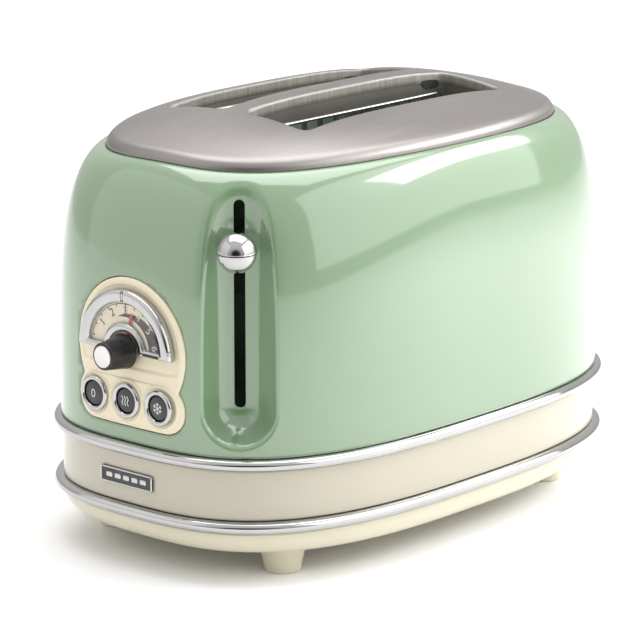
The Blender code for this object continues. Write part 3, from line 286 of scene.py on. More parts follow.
def add_piece(name, mesh, body, slot, *nodes):
    """Links a finished mesh, lets it ride on its body and stand for its CAD nodes."""
    made = bpy.data.objects.new(name, mesh)
    bpy.context.scene.collection.objects.link(made)
    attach(made, body)
    if nodes:
        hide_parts(*nodes)
    return made


def whole_piece(name, points, faces, outside, material, body, slot, *nodes):
    """Makes one piece of points measured from the rings' middle; its face nearest to outside faces it."""
    points = np.array(points, float).reshape(-1, 3)
    points[:, 0] += middle.x
    mesh = mesh_from(name, *compact(points, faces))
    outward_faces(mesh)
    agree_with(mesh, outside)
    mesh.materials.append(material)
    return add_piece(name, mesh, body, slot, *nodes)


def thicken(piece, thickness):
    """Gives an outer surface a wall of sheet metal or plastic behind it."""
    wall = piece.modifiers.new("wall", "SOLIDIFY")
    wall.thickness = thickness
    wall.offset = -1
    return wall


def new_material(name):
    """An empty node material: the material, its Principled shader and its object coordinates."""
    made = bpy.data.materials.new(name)
    made.use_nodes = True
    coords = made.node_tree.nodes.new("ShaderNodeTexCoord")
    return made, made.node_tree.nodes["Principled BSDF"], coords.outputs["Object"]


def noise(coords, scale, detail=3.0, stretch=(1, 1, 1), roughness=0.5):
    """Noise at a scale in features per metre, stretched along any axis with a small factor."""
    tree = coords.id_data
    mapping = tree.nodes.new("ShaderNodeMapping")
    mapping.inputs["Scale"].default_value = stretch
    tree.links.new(coords, mapping.inputs["Vector"])
    made = tree.nodes.new("ShaderNodeTexNoise")
    made.inputs["Scale"].default_value = scale
    made.inputs["Detail"].default_value = detail
    made.inputs["Roughness"].default_value = roughness
    tree.links.new(mapping.outputs[0], made.inputs["Vector"])
    return made.outputs["Fac"]


def vary(shader, socket, pattern, low, high, start=0.3, end=0.7):
    """Lets a socket go from low to high as the pattern goes from start to end; they may be colours."""
    tree = shader.id_data
    made = tree.nodes.new("ShaderNodeValToRGB")
    for element, place, value in zip(made.color_ramp.elements, (start, end), (low, high)):
        element.position = place
        element.color = (*np.broadcast_to(value, 3), 1)
    tree.links.new(pattern, made.inputs["Fac"])
    tree.links.new(made.outputs["Color"], shader.inputs[socket])


def bump(shader, height, strength, distance):
    """Feeds a height pattern to the shader's normal."""
    tree = shader.id_data
    made = tree.nodes.new("ShaderNodeBump")
    made.inputs["Strength"].default_value = strength
    made.inputs["Distance"].default_value = distance
    tree.links.new(height, made.inputs["Height"])
    tree.links.new(made.outputs[0], shader.inputs["Normal"])


def toned(name, scale, low, high, roughness, metallic=0.0, detail=3.0):
    """A material whose colour drifts between two tones, with one gloss all over."""
    made, shader, coords = new_material(name)
    vary(shader, "Base Color", noise(coords, scale, detail), low, high)
    shader.inputs["Metallic"].default_value = metallic
    shader.inputs["Roughness"].default_value = roughness
    return made


# The control panel's opening in the end of the shell: a round lobe over a rounded foot.
dial_height = 0.1082
panel_dial_radius = 0.0350
panel_low, panel_step = 0.0710, 0.0945
panel_half_width = 0.0345
panel_corner = 0.0110
panel_blend = 0.0015
panel_gap = 0.00045


def panel_distance(flat):
    """Signed distance to the control panel's outline: a round lobe softly joined to a rounded foot."""
    lobe = np.hypot(flat[:, 0], flat[:, 1] - dial_height) - panel_dial_radius
    foot_middle = (0.0, (panel_low + panel_step) / 2)
    foot = box_distance(flat, foot_middle, (panel_half_width, (panel_step - panel_low) / 2), panel_corner)
    return soft_min(lobe, foot, panel_blend)


# The wall's section: its height is the root of a sine, and its inset is one less a power of
# the cosine.  The rows are spaced evenly along it.
section_turn = np.linspace(0, np.pi / 2, 721)
rise_curve = np.sqrt(np.sin(section_turn))
inset_curve = 1 - np.clip(np.cos(section_turn), 0, 1) ** shoulder_power
section_height, section_inset = 0.134, 0.0175
run = np.hypot(np.diff(rise_curve) * section_height, np.diff(inset_curve) * section_inset)
run = np.concatenate([[0], np.cumsum(run)])
wall_rows = 116
along = np.linspace(0, run[-1], wall_rows)
rise = np.interp(along, run, rise_curve)
inset = np.interp(along, run, inset_curve)

# The columns: evenly spaced across the lever's hollow, and evenly spaced round the rest.
lever_angle = math.radians(39)
lever_side = -0.0399
lever_out = np.array([-math.cos(lever_angle), -math.sin(lever_angle)])
lever_across = np.array([math.sin(lever_angle), -math.cos(lever_angle)])
lever_corner = 0.06
zone = 0.033
zone_columns = 133
rest_columns = 250
across_marks = np.linspace(-zone, zone, zone_columns)
fine = np.linspace(0, 2 * np.pi, 8001)
turns = []
for share in inset:
    outline = plan(fine, wall_plan + (seam_plan - wall_plan) * share)
    side = outline @ lever_across - lever_side
    near = (outline @ lever_out > lever_corner) & (np.abs(side) < zone + 0.01)
    order = np.argsort(side[near])
    marks = np.sort(np.interp(across_marks, side[near][order], fine[near][order]))
    length = np.concatenate([[0], np.cumsum(np.hypot(*np.diff(outline, axis=0).T))])
    first, last = np.interp(marks[[-1, 0]], fine, length)
    rest = np.linspace(first, last + length[-1], rest_columns + 2)[1:-1]
    rest = np.interp(rest % length[-1], length, fine)
    turns.append(np.concatenate([marks, rest]))
turns = np.array(turns)
sections = wall_plan + (seam_plan - wall_plan) * inset[:, None]
flat_wall = plan(turns, sections[:, None, :])
rim_points = plan(turns[-1], seam_plan)
rim_height = crown(rim_points[:, 0], rim_points[:, 1]) - edge_roll - seam_gap
wall_z = shell_foot + rise[:, None] * (rim_height[None, :] - shell_foot)

# The hollow's floor is upright; its sides and its bowl-shaped foot rise by one power law.
trough_floor = 0.1270
trough_depth = 0.0157
trough_half_width = 0.0190
trough_power = 2.5
trough_blend = 0.0034
bowl_top = 0.0850
bowl_depth = 0.0165
across = flat_wall @ lever_across - lever_side
outward = flat_wall @ lever_out
side_share = np.abs(across) / trough_half_width
bowl_share = np.maximum(bowl_top - wall_z, 0) / bowl_depth
hollow = trough_floor + trough_depth * np.hypot(side_share, bowl_share) ** trough_power
pressed = np.where(outward > lever_corner, soft_min(outward, hollow, trough_blend), outward)
flat_wall = flat_wall + (pressed - outward)[..., None] * lever_out
wall_points = np.concatenate([flat_wall, wall_z[..., None]], -1).reshape(-1, 3)
wall_faces = grid_faces(wall_rows, turns.shape[1], round_columns=True)
slot_span = (0.0838, 0.1838)
slot_half = 0.0026
# Points that a cut is to leave alone are moved this far off in its plane.
out_of_reach = 1.0


def slot_distance(flat):
    """Signed distance to the lever's slot, across and up the hollow's floor; negative is metal."""
    centre = (0.0, (slot_span[0] + slot_span[1]) / 2)
    half = (slot_half, (slot_span[1] - slot_span[0]) / 2)
    return -box_distance(flat, centre, half, slot_half * 0.999)


lever_flat = np.stack([wall_points[:, :2] @ lever_across - lever_side, wall_points[:, 2]], -1)
lever_flat[wall_points[:, :2] @ lever_out < lever_corner] += out_of_reach
wall_faces, slot_rim, slot_moved = trimmed(wall_faces, slot_distance, lever_flat)
shift = slot_moved - lever_flat[slot_rim]
wall_points[slot_rim, :2] += shift[:, :1] * lever_across
wall_points[slot_rim, 2] += shift[:, 1]

end_flat = wall_points[:, 1:].copy()
end_flat[wall_points[:, 0] > 0] += out_of_reach
wall_faces, open_rim, open_moved = trimmed(
    wall_faces, lambda flat: panel_gap - panel_distance(flat), end_flat
)
wall_points[open_rim, 1:] = open_moved

enamel, shader, coords = new_material("mint_enamel")
vary(shader, "Base Color", noise(coords, 9, 2), (0.172, 0.278, 0.150), (0.176, 0.284, 0.154), 0.2, 0.8)
shader.inputs["Coat Weight"].default_value = 1.0
shader.inputs["Coat IOR"].default_value = 1.85
shader.inputs["Coat Roughness"].default_value = 0.07
shader.inputs["Roughness"].default_value = 0.3
bare = toned("bare_inside", 40, (0.36, 0.34, 0.31), (0.44, 0.42, 0.385), 0.5, 0.3)
shell = whole_piece(
    "enamel_shell", wall_points, wall_faces, (0, -1, 0.1), enamel, "housing", "green_enamel", "body_shell"
)
shell.data.materials.append(bare)
thicken(shell, shell_gauge).material_offset = 1


# --- Top plate ----------------------------------------------------------------------------
# One stainless pressing, brushed along its length.  Its edge is rolled down to the seam and
# polished, and each bread slot has a lip turned down into the oven.
slot_centre_y = 0.0262
slot_half_size = (0.0742, 0.01950)
slot_corner = 0.0048
lip_radius = 0.0016
lip_depth = 0.0058
lip_spread = 0.0006
lip_reach = 0.0140
plate_gauge = 0.0007


def reach_to(directions, start, distance, far=0.3):
    """How far along each direction from the start a convex outline lies, found by halving."""
    low = np.zeros(len(directions))
    high = np.full(len(directions), far)
    for _ in range(45):
        half = (low + high) / 2
        inside = distance(start + directions * half[:, None]) < 0
        low = np.where(inside, half, low)
        high = np.where(inside, high, half)
    return low


def half_plate_level(flat):
    """Below zero inside the seam's superellipse, drawn in by the edge's roll, and on the far half."""
    x = np.abs(flat[:, 0] / (seam_plan[0] - edge_roll)) ** seam_plan[2]
    y = np.abs(flat[:, 1] / (seam_plan[1] - edge_roll)) ** seam_plan[3]
    return np.maximum(x + y - 1, -flat[:, 1])


def joined(*parts):
    """One set of points and faces out of several (points, faces) parts."""
    points = [np.reshape(part[0], (-1, 3)) for part in parts]
    offsets = np.cumsum([0] + [len(p) for p in points])
    return np.concatenate(points), np.concatenate([part[1] + n for part, n in zip(parts, offsets)])


# Half of the plate is a fan of rays from the far slot's middle to its outline and on to the
# plate's edge or its middle line.  The other half mirrors it.
slot_start = np.array([0.0, slot_centre_y])
aspect = np.array(slot_half_size)
corner_turn = math.atan2(-slot_centre_y / aspect[1], (seam_plan[0] - edge_roll) / aspect[0])
outline_turn = np.linspace(corner_turn, np.pi - corner_turn, 241)
middle_turn = np.linspace(np.pi - corner_turn, 2 * np.pi + corner_turn, 141)[1:-1]
ray_turn = np.concatenate([outline_turn, middle_turn])
rays = np.stack([np.cos(ray_turn) * aspect[0], np.sin(ray_turn) * aspect[1]], -1)
rays /= np.hypot(*rays.T)[:, None]


def slot_ring(grow):
    """The slot's outline grown by one amount, met along the rays."""
    half = aspect + grow
    found = reach_to(rays, slot_start, lambda flat: box_distance(flat, slot_start, half, slot_corner + grow))
    return slot_start + rays * found[:, None]


lip_section = [
    (lip_spread, lip_reach),
    (lip_spread, lip_depth + 0.0003),
    (0, lip_depth),
    (0, lip_depth * 0.6),
    (0, lip_radius * 1.3),
]
for angle in np.linspace(0, math.pi / 2, 7):
    lip_section.append((lip_radius * (1 - math.cos(angle)), lip_radius * (1 - math.sin(angle))))
plate_rows = []
for grow, drop in lip_section:
    ring = slot_ring(grow)
    plate_rows.append(np.column_stack([ring, crown(*ring.T) - drop]))
inner = slot_ring(lip_radius)
outer = slot_start + rays * reach_to(rays, slot_start, half_plate_level)[:, None]
for share in np.linspace(0, 1, 17)[1:]:
    ring = inner + (outer - inner) * share
    plate_rows.append(np.column_stack([ring, crown(*ring.T)]))
half_points = np.array(plate_rows)
half_faces = grid_faces(len(plate_rows), len(rays), round_columns=True)

edge_flat = outer[: len(outline_turn)]
edge_share = np.abs(edge_flat) / (seam_plan[:2] - edge_roll)
edge_powers = edge_share ** (seam_plan[2:] / 2) * np.sign(edge_flat)
edge_turn = np.arctan2(edge_powers[:, 1], edge_powers[:, 0])
edge_section = [(math.pi / 2 * step / 9, 0) for step in range(10)] + [(math.pi / 2, 0.0006)]
edge_rows = []
for angle, skirt in edge_section:
    ring = plan(edge_turn, seam_plan, edge_roll * (math.sin(angle) - 1))
    ring[0, 1] = ring[-1, 1] = 0
    drop = edge_roll * (1 - math.cos(angle)) + skirt
    edge_rows.append(np.column_stack([ring, crown(*ring.T) - drop]))
edge_points = np.array(edge_rows)
edge_faces = grid_faces(len(edge_rows), len(edge_turn))
mirror = np.array([1, -1, 1])
plate_points, plate_faces = joined(
    (half_points, half_faces),
    (half_points * mirror, half_faces),
    (edge_points, edge_faces),
    (edge_points * mirror, edge_faces),
)

brushed, shader, coords = new_material("brushed_top")
grain = noise(coords, 900, 4, (0.02, 1, 1), 0.7)
broad = noise(coords, 30, 3, (0.3, 1, 1))
vary(shader, "Base Color", broad, (0.275, 0.256, 0.248), (0.315, 0.293, 0.284))
vary(shader, "Roughness", grain, 0.30, 0.46, 0.2, 0.8)
shader.inputs["Metallic"].default_value = 1.0
shader.inputs["Anisotropic"].default_value = 0.4
bump(shader, grain, 0.10, 0.0001)
lip, shader, coords = new_material("rolled_lip")
grain = noise(coords, 700, 4, (1, 1, 0.03), 0.7)
vary(shader, "Base Color", grain, (0.22, 0.21, 0.185), (0.44, 0.425, 0.38), 0.25, 0.75)
shader.inputs["Roughness"].default_value = 0.5
shader.inputs["Metallic"].default_value = 0.35
plate = whole_piece(
    "steel_top", plate_points, plate_faces, (0, 0, 1), brushed, "housing", "brushed_steel", "top_plate"
)
thicken(plate, plate_gauge)
plate.data.materials.append(lip)
plate.data.materials.append(bare)

# The lips' upright faces are matt, and below the lip they are bare sheet.
slots_half_length, slots_half_width = 0.078, 0.049
centre_x, centre_y, centre_z = (read_all(plate.data.polygons, "center") - np.array(middle)).T
steep = np.abs(read_all(plate.data.polygons, "normal")[:, 2]) < 0.6
by_slots = (np.abs(centre_x) < slots_half_length) & (np.abs(centre_y) < slots_half_width) & steep
below_lip = crown(centre_x, centre_y) - centre_z > lip_depth + 0.0004
plate.data.polygons.foreach_set("material_index", (by_slots * (1 + below_lip)).astype(np.int32))

# A dark sheet near the rear end of each slot's far lip, its ends rounded by a fourth power: painted shade
# where a notch is cut in the lip.
notch_painted_shade = toned("notch_shadow", 200, (0.010, 0.009, 0.008), (0.018, 0.016, 0.015), 0.7, detail=2)
notch_start, notch_length = 0.0590, 0.0130
notch_top, notch_foot = 0.0040, 0.0085
notch_top_round, notch_foot_round = 0.0006, 0.0022
notch_proud = 0.0004
# Each notch piece is a flat near-black sheet of painted shade, not an opening.
for side, slot_y in (("near", -slot_centre_y), ("far", slot_centre_y)):
    y = slot_y + slot_half_size[1]
    share = np.linspace(0, 1, 9)
    x = notch_start + notch_length * share
    rounding = (2 * share - 1) ** 4
    level = np.full(len(x), y - notch_proud)
    foot = np.column_stack([x, level, crown(x, y) - notch_foot + notch_foot_round * rounding])
    top = np.column_stack([x, level, crown(x, y) - notch_top - notch_top_round * rounding])
    notch = (np.stack([foot, top], 1), grid_faces(len(x), 2))
    whole_piece("notch_" + side, *notch, (0.058, y - 0.02, 0.2), notch_painted_shade, "housing", "brushed_steel")


# --- Chrome rings -------------------------------------------------------------------------
# Two rolled brass strips, bent round the base and chromed: one closes the shell's foot and
# one closes the band's.
chrome, shader, coords = new_material("polished_chrome")
vary(shader, "Base Color", noise(coords, 35), (0.47, 0.465, 0.46), (0.51, 0.505, 0.50))
vary(shader, "Roughness", noise(coords, 90), 0.05, 0.10, 0.3, 0.75)
shader.inputs["Metallic"].default_value = 1.0
bump(shader, noise(coords, 260, 2), 0.02, 0.0002)

ring_plan = np.array([(ring_high.x - ring_low.x) / 2, ring_high.y, 2.96, 2.88])
ring_half = (ring_high.z - ring_low.z) / 2
ring_web = 0.0062
around = np.linspace(0, 2 * np.pi, 721)[:-1]


def swept_round(sizes, profile):
    """A profile of (grow, height) points carried round a superellipse whose half sizes it grows."""
    rings = [np.column_stack([plan(around, sizes, grow), np.full(len(around), z)]) for grow, z in profile]
    return np.array(rings).reshape(-1, 3), grid_faces(len(profile), len(around), round_columns=True)


def bead_profile(z):
    """A half-round bead with a narrow flat above and below it where the strip is folded in."""
    profile = [(-ring_web, z - ring_half * 0.96)]
    for angle in np.linspace(-np.pi / 2, np.pi / 2, 19):
        profile.append((ring_half * (math.cos(angle) - 1), z + ring_half * math.sin(angle)))
    return profile + [(-ring_web, z + ring_half * 0.96)]


for node in ("upper_chrome_ring", "lower_chrome_ring"):
    low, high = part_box(node)
    bead = swept_round(ring_plan, bead_profile((low.z + high.z) / 2))
    whole_piece(node + "_bead", *bead, (0, -1, low.z), chrome, "housing", "chrome", node)


# --- Base band and pan --------------------------------------------------------------------
# Cream mouldings: a plain upright band between the rings, with an opening at the rear for
# the crumb tray, and a bowl-shaped pan below with vents and the cord's hole.
cream, shader, coords = new_material("cream_moulding")
vary(shader, "Base Color", noise(coords, 14), (0.450, 0.415, 0.315), (0.468, 0.432, 0.330))
vary(shader, "Roughness", noise(coords, 150), 0.30, 0.38)
shader.inputs["Coat Weight"].default_value = 0.8
shader.inputs["Coat IOR"].default_value = 1.7
shader.inputs["Coat Roughness"].default_value = 0.16
bump(shader, noise(coords, 900), 0.05, 0.0001)

band_low, band_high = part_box("base_band")
band_plan = np.array([(band_high.x - band_low.x) / 2, band_high.y, 2.90, 2.95])
band_wall = 0.0018
tray_low, tray_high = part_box("crumb_tray_front")
tray_gap, tray_corner = 0.0004, 0.003
tray_half = (tray_high.y + tray_gap, (tray_high.z - tray_low.z) / 2 + tray_gap)
tray_middle = (0, (tray_high.z + tray_low.z) / 2)


def tray_distance(flat):
    """Signed distance to the crumb tray's opening in the band's rear; negative is the moulding."""
    return -box_distance(flat, tray_middle, tray_half, tray_corner)


def rear_flat(points):
    """The (y, z) places of points at the rear end, with the others moved out of reach."""
    flat = points[:, 1:].copy()
    flat[points[:, 0] < 0.1] += out_of_reach
    return flat


points, faces = swept_round(band_plan, [(0, z) for z in np.linspace(band_low.z, band_high.z, 33)])
faces, rim, moved = trimmed(faces, tray_distance, rear_flat(points))
points[rim, 1:] = moved
band = whole_piece("cream_band", points, faces, (0, -1, 0.04), cream, "housing", "cream_plastic", "base_band")
thicken(band, band_wall)

# The tray's front closes the opening, with the band's own curve and a small grip.
tray_y = np.linspace(-tray_high.y, tray_high.y, 181)
tray_x = band_plan[0] * (1 - (np.abs(tray_y) / band_plan[1]) ** band_plan[3]) ** (1 / band_plan[2])
tray_heights = np.linspace(tray_low.z, tray_high.z, 17)
points = [np.column_stack([tray_x, tray_y, np.full(len(tray_y), z)]) for z in tray_heights]
tray_front = whole_piece(
    "tray_front",
    points,
    grid_faces(len(tray_heights), len(tray_y)),
    (1, 0, 0.04),
    cream,
    "tray",
    "cream_plastic",
    "crumb_tray_front",
)
thicken(tray_front, band_wall)

grip_low, grip_high = band_plan[0] - 0.001, ring_plan[0] - 0.0003
grip_half_width, grip_half_height, grip_middle = 0.018, 0.0015, 0.0397
grip_width_taper, grip_height_taper = 0.0014, 0.0006
turn = np.linspace(0, 2 * np.pi, 48, endpoint=False)
c, s = np.cos(turn), np.sin(turn)
grip_rows = []
for share in np.linspace(0, 1, 7):
    x = np.full(len(turn), grip_low + (grip_high - grip_low) * share)
    y = np.sign(c) * np.abs(c) ** 0.2 * (grip_half_width - grip_width_taper * share**3)
    z = np.sign(s) * np.abs(s) ** 0.5 * (grip_half_height - grip_height_taper * share**3) + grip_middle
    grip_rows.append(np.column_stack([x, y, z]))
grip_rows.append(grip_rows[-1] * np.array([1, 0, 0]) + np.array([0, 0, grip_middle]))
grip_faces = grid_faces(len(grip_rows), len(turn), round_columns=True)
whole_piece("tray_grip", grip_rows, grip_faces, (1, 0, 0.04), cream, "tray", "cream_plastic")

# The pan and the feet are the band's cream plastic painted paler: painted light that stands in for the light
# the floor throws up under the toaster.
floor_lit_cream, shader, coords = new_material("pan_moulding")
vary(shader, "Base Color", noise(coords, 14), (0.640, 0.600, 0.455), (0.665, 0.622, 0.475))
vary(shader, "Roughness", noise(coords, 150), 0.28, 0.36)
shader.inputs["Coat Weight"].default_value = 0.6

# The pan's wall is a quarter ellipse from the lower ring in to the floor, which is flat.
pan_low, pan_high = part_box("base_pan")
pan_collar = 0.032
pan_top = pan_high.z - pan_collar
pan_wall = 0.0016
pan_inset = (0.0180, 0.0122)
pan_foot = np.array([ring_plan[0] - pan_inset[0], ring_plan[1] - pan_inset[1], 2.80, 2.90])
pan_rows = []
for angle in np.linspace(0, np.pi / 2, 23):
    outline = plan(around, band_plan + (pan_foot - band_plan) * (1 - math.cos(angle)))
    z = pan_top - (pan_top - pan_low.z) * math.sin(angle)
    pan_rows.append(np.column_stack([outline, np.full(len(around), z)]))
for share in np.linspace(1, 0, 70)[1:]:
    pan_rows.append(np.column_stack([plan(around, pan_foot) * share, np.full(len(around), pan_low.z)]))
points = np.array(pan_rows).reshape(-1, 3)
faces = grid_faces(len(pan_rows), len(around), round_columns=True)
vent_pitch, vent_half, vent_corner = 0.016, (0.003, 0.04), 0.002
cord_hole = 0.0044
gland_low, gland_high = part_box("cord_gland")
gland_z = (gland_low.z + gland_high.z) / 2


def vent_distance(flat):
    """Signed distance to seven slots in the pan's floor; negative is the moulding."""
    slots = [box_distance(flat, (row * vent_pitch, 0), vent_half, vent_corner) for row in range(-3, 4)]
    return -np.min(slots, axis=0)


def cord_distance(flat):
    """Signed distance to the round hole for the cord's bush; negative is the moulding."""
    return cord_hole - np.hypot(flat[:, 0], flat[:, 1] - gland_z)


flat = points[:, :2].copy()
flat[points[:, 2] > pan_low.z + 0.0001] += out_of_reach
faces, rim, moved = trimmed(faces, vent_distance, flat)
points[rim, :2] = moved
faces, rim, moved = trimmed(faces, cord_distance, rear_flat(points))
points[rim, 1:] = moved
pan = whole_piece("cream_pan", points, faces, (0, -1, 0), floor_lit_cream, "housing", "cream_plastic", "base_pan")
thicken(pan, pan_wall)


def turned_grid(profile, centre, sides=64):
    """A profile of (radius, height) points carried round a vertical axis through the centre."""
    turn = np.linspace(0, 2 * np.pi, sides, endpoint=False)
    rings = [
        np.column_stack([centre[0] + r * np.cos(turn), centre[1] + r * np.sin(turn), np.full(sides, z)])
        for r, z in profile
    ]
    return np.array(rings).reshape(-1, 3), grid_faces(len(profile), sides, round_columns=True)


# Each foot has a rounded lower edge and flares a little towards the pan.
foot_radius, foot_round, foot_flare = 0.0090, 0.0011, 0.0027
foot_start, foot_rise = 0.0014, 0.0116
foot_edge = foot_radius - foot_round
foot_profile = [(0, 0), (foot_edge, 0)]
for angle in np.linspace(0.2, 1.4, 7):
    foot_profile.append((foot_edge + foot_round * math.sin(angle), foot_round * (1 - math.cos(angle))))
for share in np.linspace(0, 1, 12):
    foot_profile.append((foot_radius + foot_flare * share**1.1, foot_start + foot_rise * share))
# The feet take the pan's paler cream, which is painted light from the floor.
for node in ("foot_front_near", "foot_front_far", "foot_rear_near", "foot_rear_far"):
    low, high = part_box(node)
    centre = ((low.x + high.x) / 2 - middle.x, (low.y + high.y) / 2)
    foot = turned_grid(foot_profile, centre)
    outside = (centre[0], -1, 0.007)
    whole_piece(node + "_moulding", *foot, outside, floor_lit_cream, "housing", "cream_plastic", node)


# --- Control panel ------------------------------------------------------------------------
# A cream moulding let into the shell's end and following its curve, with a raised pad round
# the buttons and a low collar at each of them.  It snaps in from behind.
def wall_x(y, z):
    """Distance of the wall's end face from the middle at a place (y, z), from the shoulder's law."""
    rim_z = crown(seam_plan[0] * 0.97, y) - edge_roll
    share = np.clip((z - shell_foot) / (rim_z - shell_foot), 0, 1)
    share = 1 - np.cos(np.arcsin(share**2)) ** shoulder_power
    sizes = wall_plan + (seam_plan - wall_plan) * share[..., None]
    half_x, half_y, power_x, power_y = np.moveaxis(sizes, -1, 0)
    return half_x * (1 - (np.abs(y) / half_y) ** power_y) ** (1 / power_x)


button_z = 0.0838
button_y = (0.0213, 0, -0.0213)
button_radius = 0.0060
button_gap = 0.0003
panel_cream, shader, coords = new_material("panel_moulding")
vary(shader, "Base Color", noise(coords, 30), (0.790, 0.705, 0.520), (0.810, 0.725, 0.545), 0.2, 0.8)
vary(shader, "Roughness", noise(coords, 200), 0.28, 0.36)
bump(shader, noise(coords, 1200, 2), 0.04, 0.0001)

hub = np.array([0.0, 0.0960])
ray_turn = np.linspace(0, 2 * np.pi, 540, endpoint=False)
rays = np.stack([np.cos(ray_turn), np.sin(ray_turn)], -1)
panel_reach = reach_to(rays, hub, panel_distance, 0.08)
face_shares = np.linspace(0, 0.93, 90)
edge_shares = 1 - 0.07 * (1 - np.linspace(0, 1, 14)[1:]) ** 1.6
shares = np.concatenate([face_shares, edge_shares])
flat = (hub + rays * (panel_reach * shares[:, None])[..., None]).reshape(-1, 2)
faces = grid_faces(len(shares), len(rays), round_columns=True)


def button_distance(flat):
    """Signed distance to the three button holes; negative is the moulding."""
    holes = [np.hypot(flat[:, 0] - y, flat[:, 1] - button_z) - button_radius - button_gap for y in button_y]
    return -np.min(holes, axis=0)


def smooth_step(value, low, high):
    """0 below low, 1 above high and a cubic between them."""
    share = np.clip((value - low) / (high - low), 0, 1)
    return share * share * (3 - 2 * share)


faces, rim, moved = trimmed(faces, button_distance, flat)
flat[rim] = moved
edge_width, edge_height, edge_sunk = 0.0016, 0.0010, 0.0003
pad_height, collar_height, recess = 0.0005, 0.0006, 0.0006
pad_middle, pad_half, pad_corner = (0, 0.0836), (0.0318, 0.0108), 0.0105
collar_radius, collar_width = 0.0103, 0.0007
edge = np.clip(-panel_distance(flat) / edge_width, 0, 1)
relief = edge_height * np.sqrt(1 - (1 - edge) ** 2) - edge_sunk
pad = box_distance(flat, pad_middle, pad_half, pad_corner)
relief += pad_height * smooth_step(-pad, -0.0003, 0.0004)
for y in button_y:
    ring_gap = np.hypot(flat[:, 0] - y, flat[:, 1] - button_z)
    relief += collar_height * np.exp(-(((ring_gap - collar_radius) / collar_width) ** 2))
dial_gap = np.hypot(flat[:, 0], flat[:, 1] - dial_height)
in_dial = (1 - smooth_step(dial_gap, 0.0308, 0.0322)) * smooth_step(flat[:, 1], 0.099, 0.101)
relief -= recess * in_dial
points = np.column_stack([-wall_x(flat[:, 0], flat[:, 1]) - relief, flat])
panel_edge = 0.0028
rim_row = points[-len(rays):] + np.array([panel_edge, 0, 0])
edge_wall = grid_faces(2, len(rays), round_columns=True) + len(points) - len(rays)
points = np.concatenate([points, rim_row])
faces = np.concatenate([faces, edge_wall])
whole_piece(
    "panel_moulding", points, faces, (-1, 0, 0.09), panel_cream, "housing", "panel_cream", "control_panel"
)


# --- Dial ---------------------------------------------------------------------------------
# A printed card behind a clear window, framed by a chromed half-moon with a bar and a collar.
# The frame is clipped on the panel; the window lies in it.
def skirted(points, faces, back):
    """Adds a wall from the rim of a sheet of (x, y, z) points straight back to one x."""
    edges = np.stack([faces, np.roll(faces, -1, 1)], -1).reshape(-1, 2)
    _, index, count = np.unique(np.sort(edges, 1), axis=0, return_index=True, return_counts=True)
    open_edges = edges[index[count == 1]]
    used, place = np.unique(open_edges, return_inverse=True)
    lowered = points[used].copy()
    lowered[:, 0] = back
    low = place.reshape(-1, 2) + len(points)
    walls = np.column_stack([open_edges[:, 1], open_edges[:, 0], low[:, 0], low[:, 1]])
    return np.concatenate([points, lowered]), np.concatenate([faces, walls])


def pillow(distance, low, high, step, base, height, width, back):
    """A cushion over the region where distance is negative, facing the control end.

    It stands at base plus height times a quarter circle of the depth inside the outline, which
    is full at width.  From the outline a wall runs straight back.
    """
    across = np.arange(low[0], high[0] + step, step)
    up = np.arange(low[1], high[1] + step, step)
    flat = np.stack(np.meshgrid(across, up), -1).reshape(-1, 2)
    kept, rim, moved = trimmed(grid_faces(len(up), len(across)), distance, flat)
    flat[rim] = moved
    depth = np.clip(-distance(flat) / width, 0, 1)
    out = base + height * np.sqrt(1 - (1 - depth) ** 2)
    points, kept = compact(np.column_stack([-out, -flat[:, 0], flat[:, 1]]), kept)
    return skirted(points, kept, back)


bezel_radius = 0.0298
bezel_band, bezel_band_half = 0.0266, 0.0032
bezel_collar, bezel_collar_half = 0.0118, 0.0022
bezel_bar_lift, bezel_bar_half = 0.0010, (0.031, 0.0016)
knob_room = 0.0092


def bezel_distance(flat):
    """Signed distance to the half-moon: its band, its bar and its collar, less the knob's room."""
    v = flat[:, 1] - dial_height
    r = np.hypot(flat[:, 0], v)
    band = np.maximum(np.abs(r - bezel_band) - bezel_band_half, -(v + 0.0006))
    bar = box_distance(flat, (0, dial_height + bezel_bar_lift), bezel_bar_half, 0.0005)
    bar = np.maximum(bar, r - bezel_radius)
    collar = np.maximum(np.abs(r - bezel_collar) - bezel_collar_half, -v)
    return np.maximum(np.minimum(np.minimum(band, bar), collar), knob_room - r)


bezel = pillow(
    bezel_distance,
    (-0.0305, dial_height - 0.0036),
    (0.0305, dial_height + 0.0305),
    step=0.00025,
    base=0.1513,
    height=0.0016,
    width=0.0024,
    back=-0.1485,
)
whole_piece("half_moon", *bezel, (-1, 0, 0.11), chrome, "housing", "chrome", "dial_bezel")

ink = toned("dark_print", 300, (0.030, 0.028, 0.026), (0.050, 0.047, 0.044), 0.45)
light_ink = toned("light_print", 300, (0.62, 0.57, 0.46), (0.70, 0.65, 0.54), 0.45)


def sector(start, end, inner, outer, out, steps=96):
    """A flat ring sector between two turns in degrees; each radius is one number or goes between two."""
    turn = np.radians(np.linspace(start, end, steps))
    share = np.linspace(0, 1, steps)
    rows = []
    for ends in (inner, outer):
        radius = np.interp(share, (0, 1), np.broadcast_to(ends, 2))
        place = (np.full(steps, -out), -radius * np.cos(turn), dial_height + radius * np.sin(turn))
        rows.append(np.column_stack(place))
    return np.array(rows), grid_faces(2, steps)


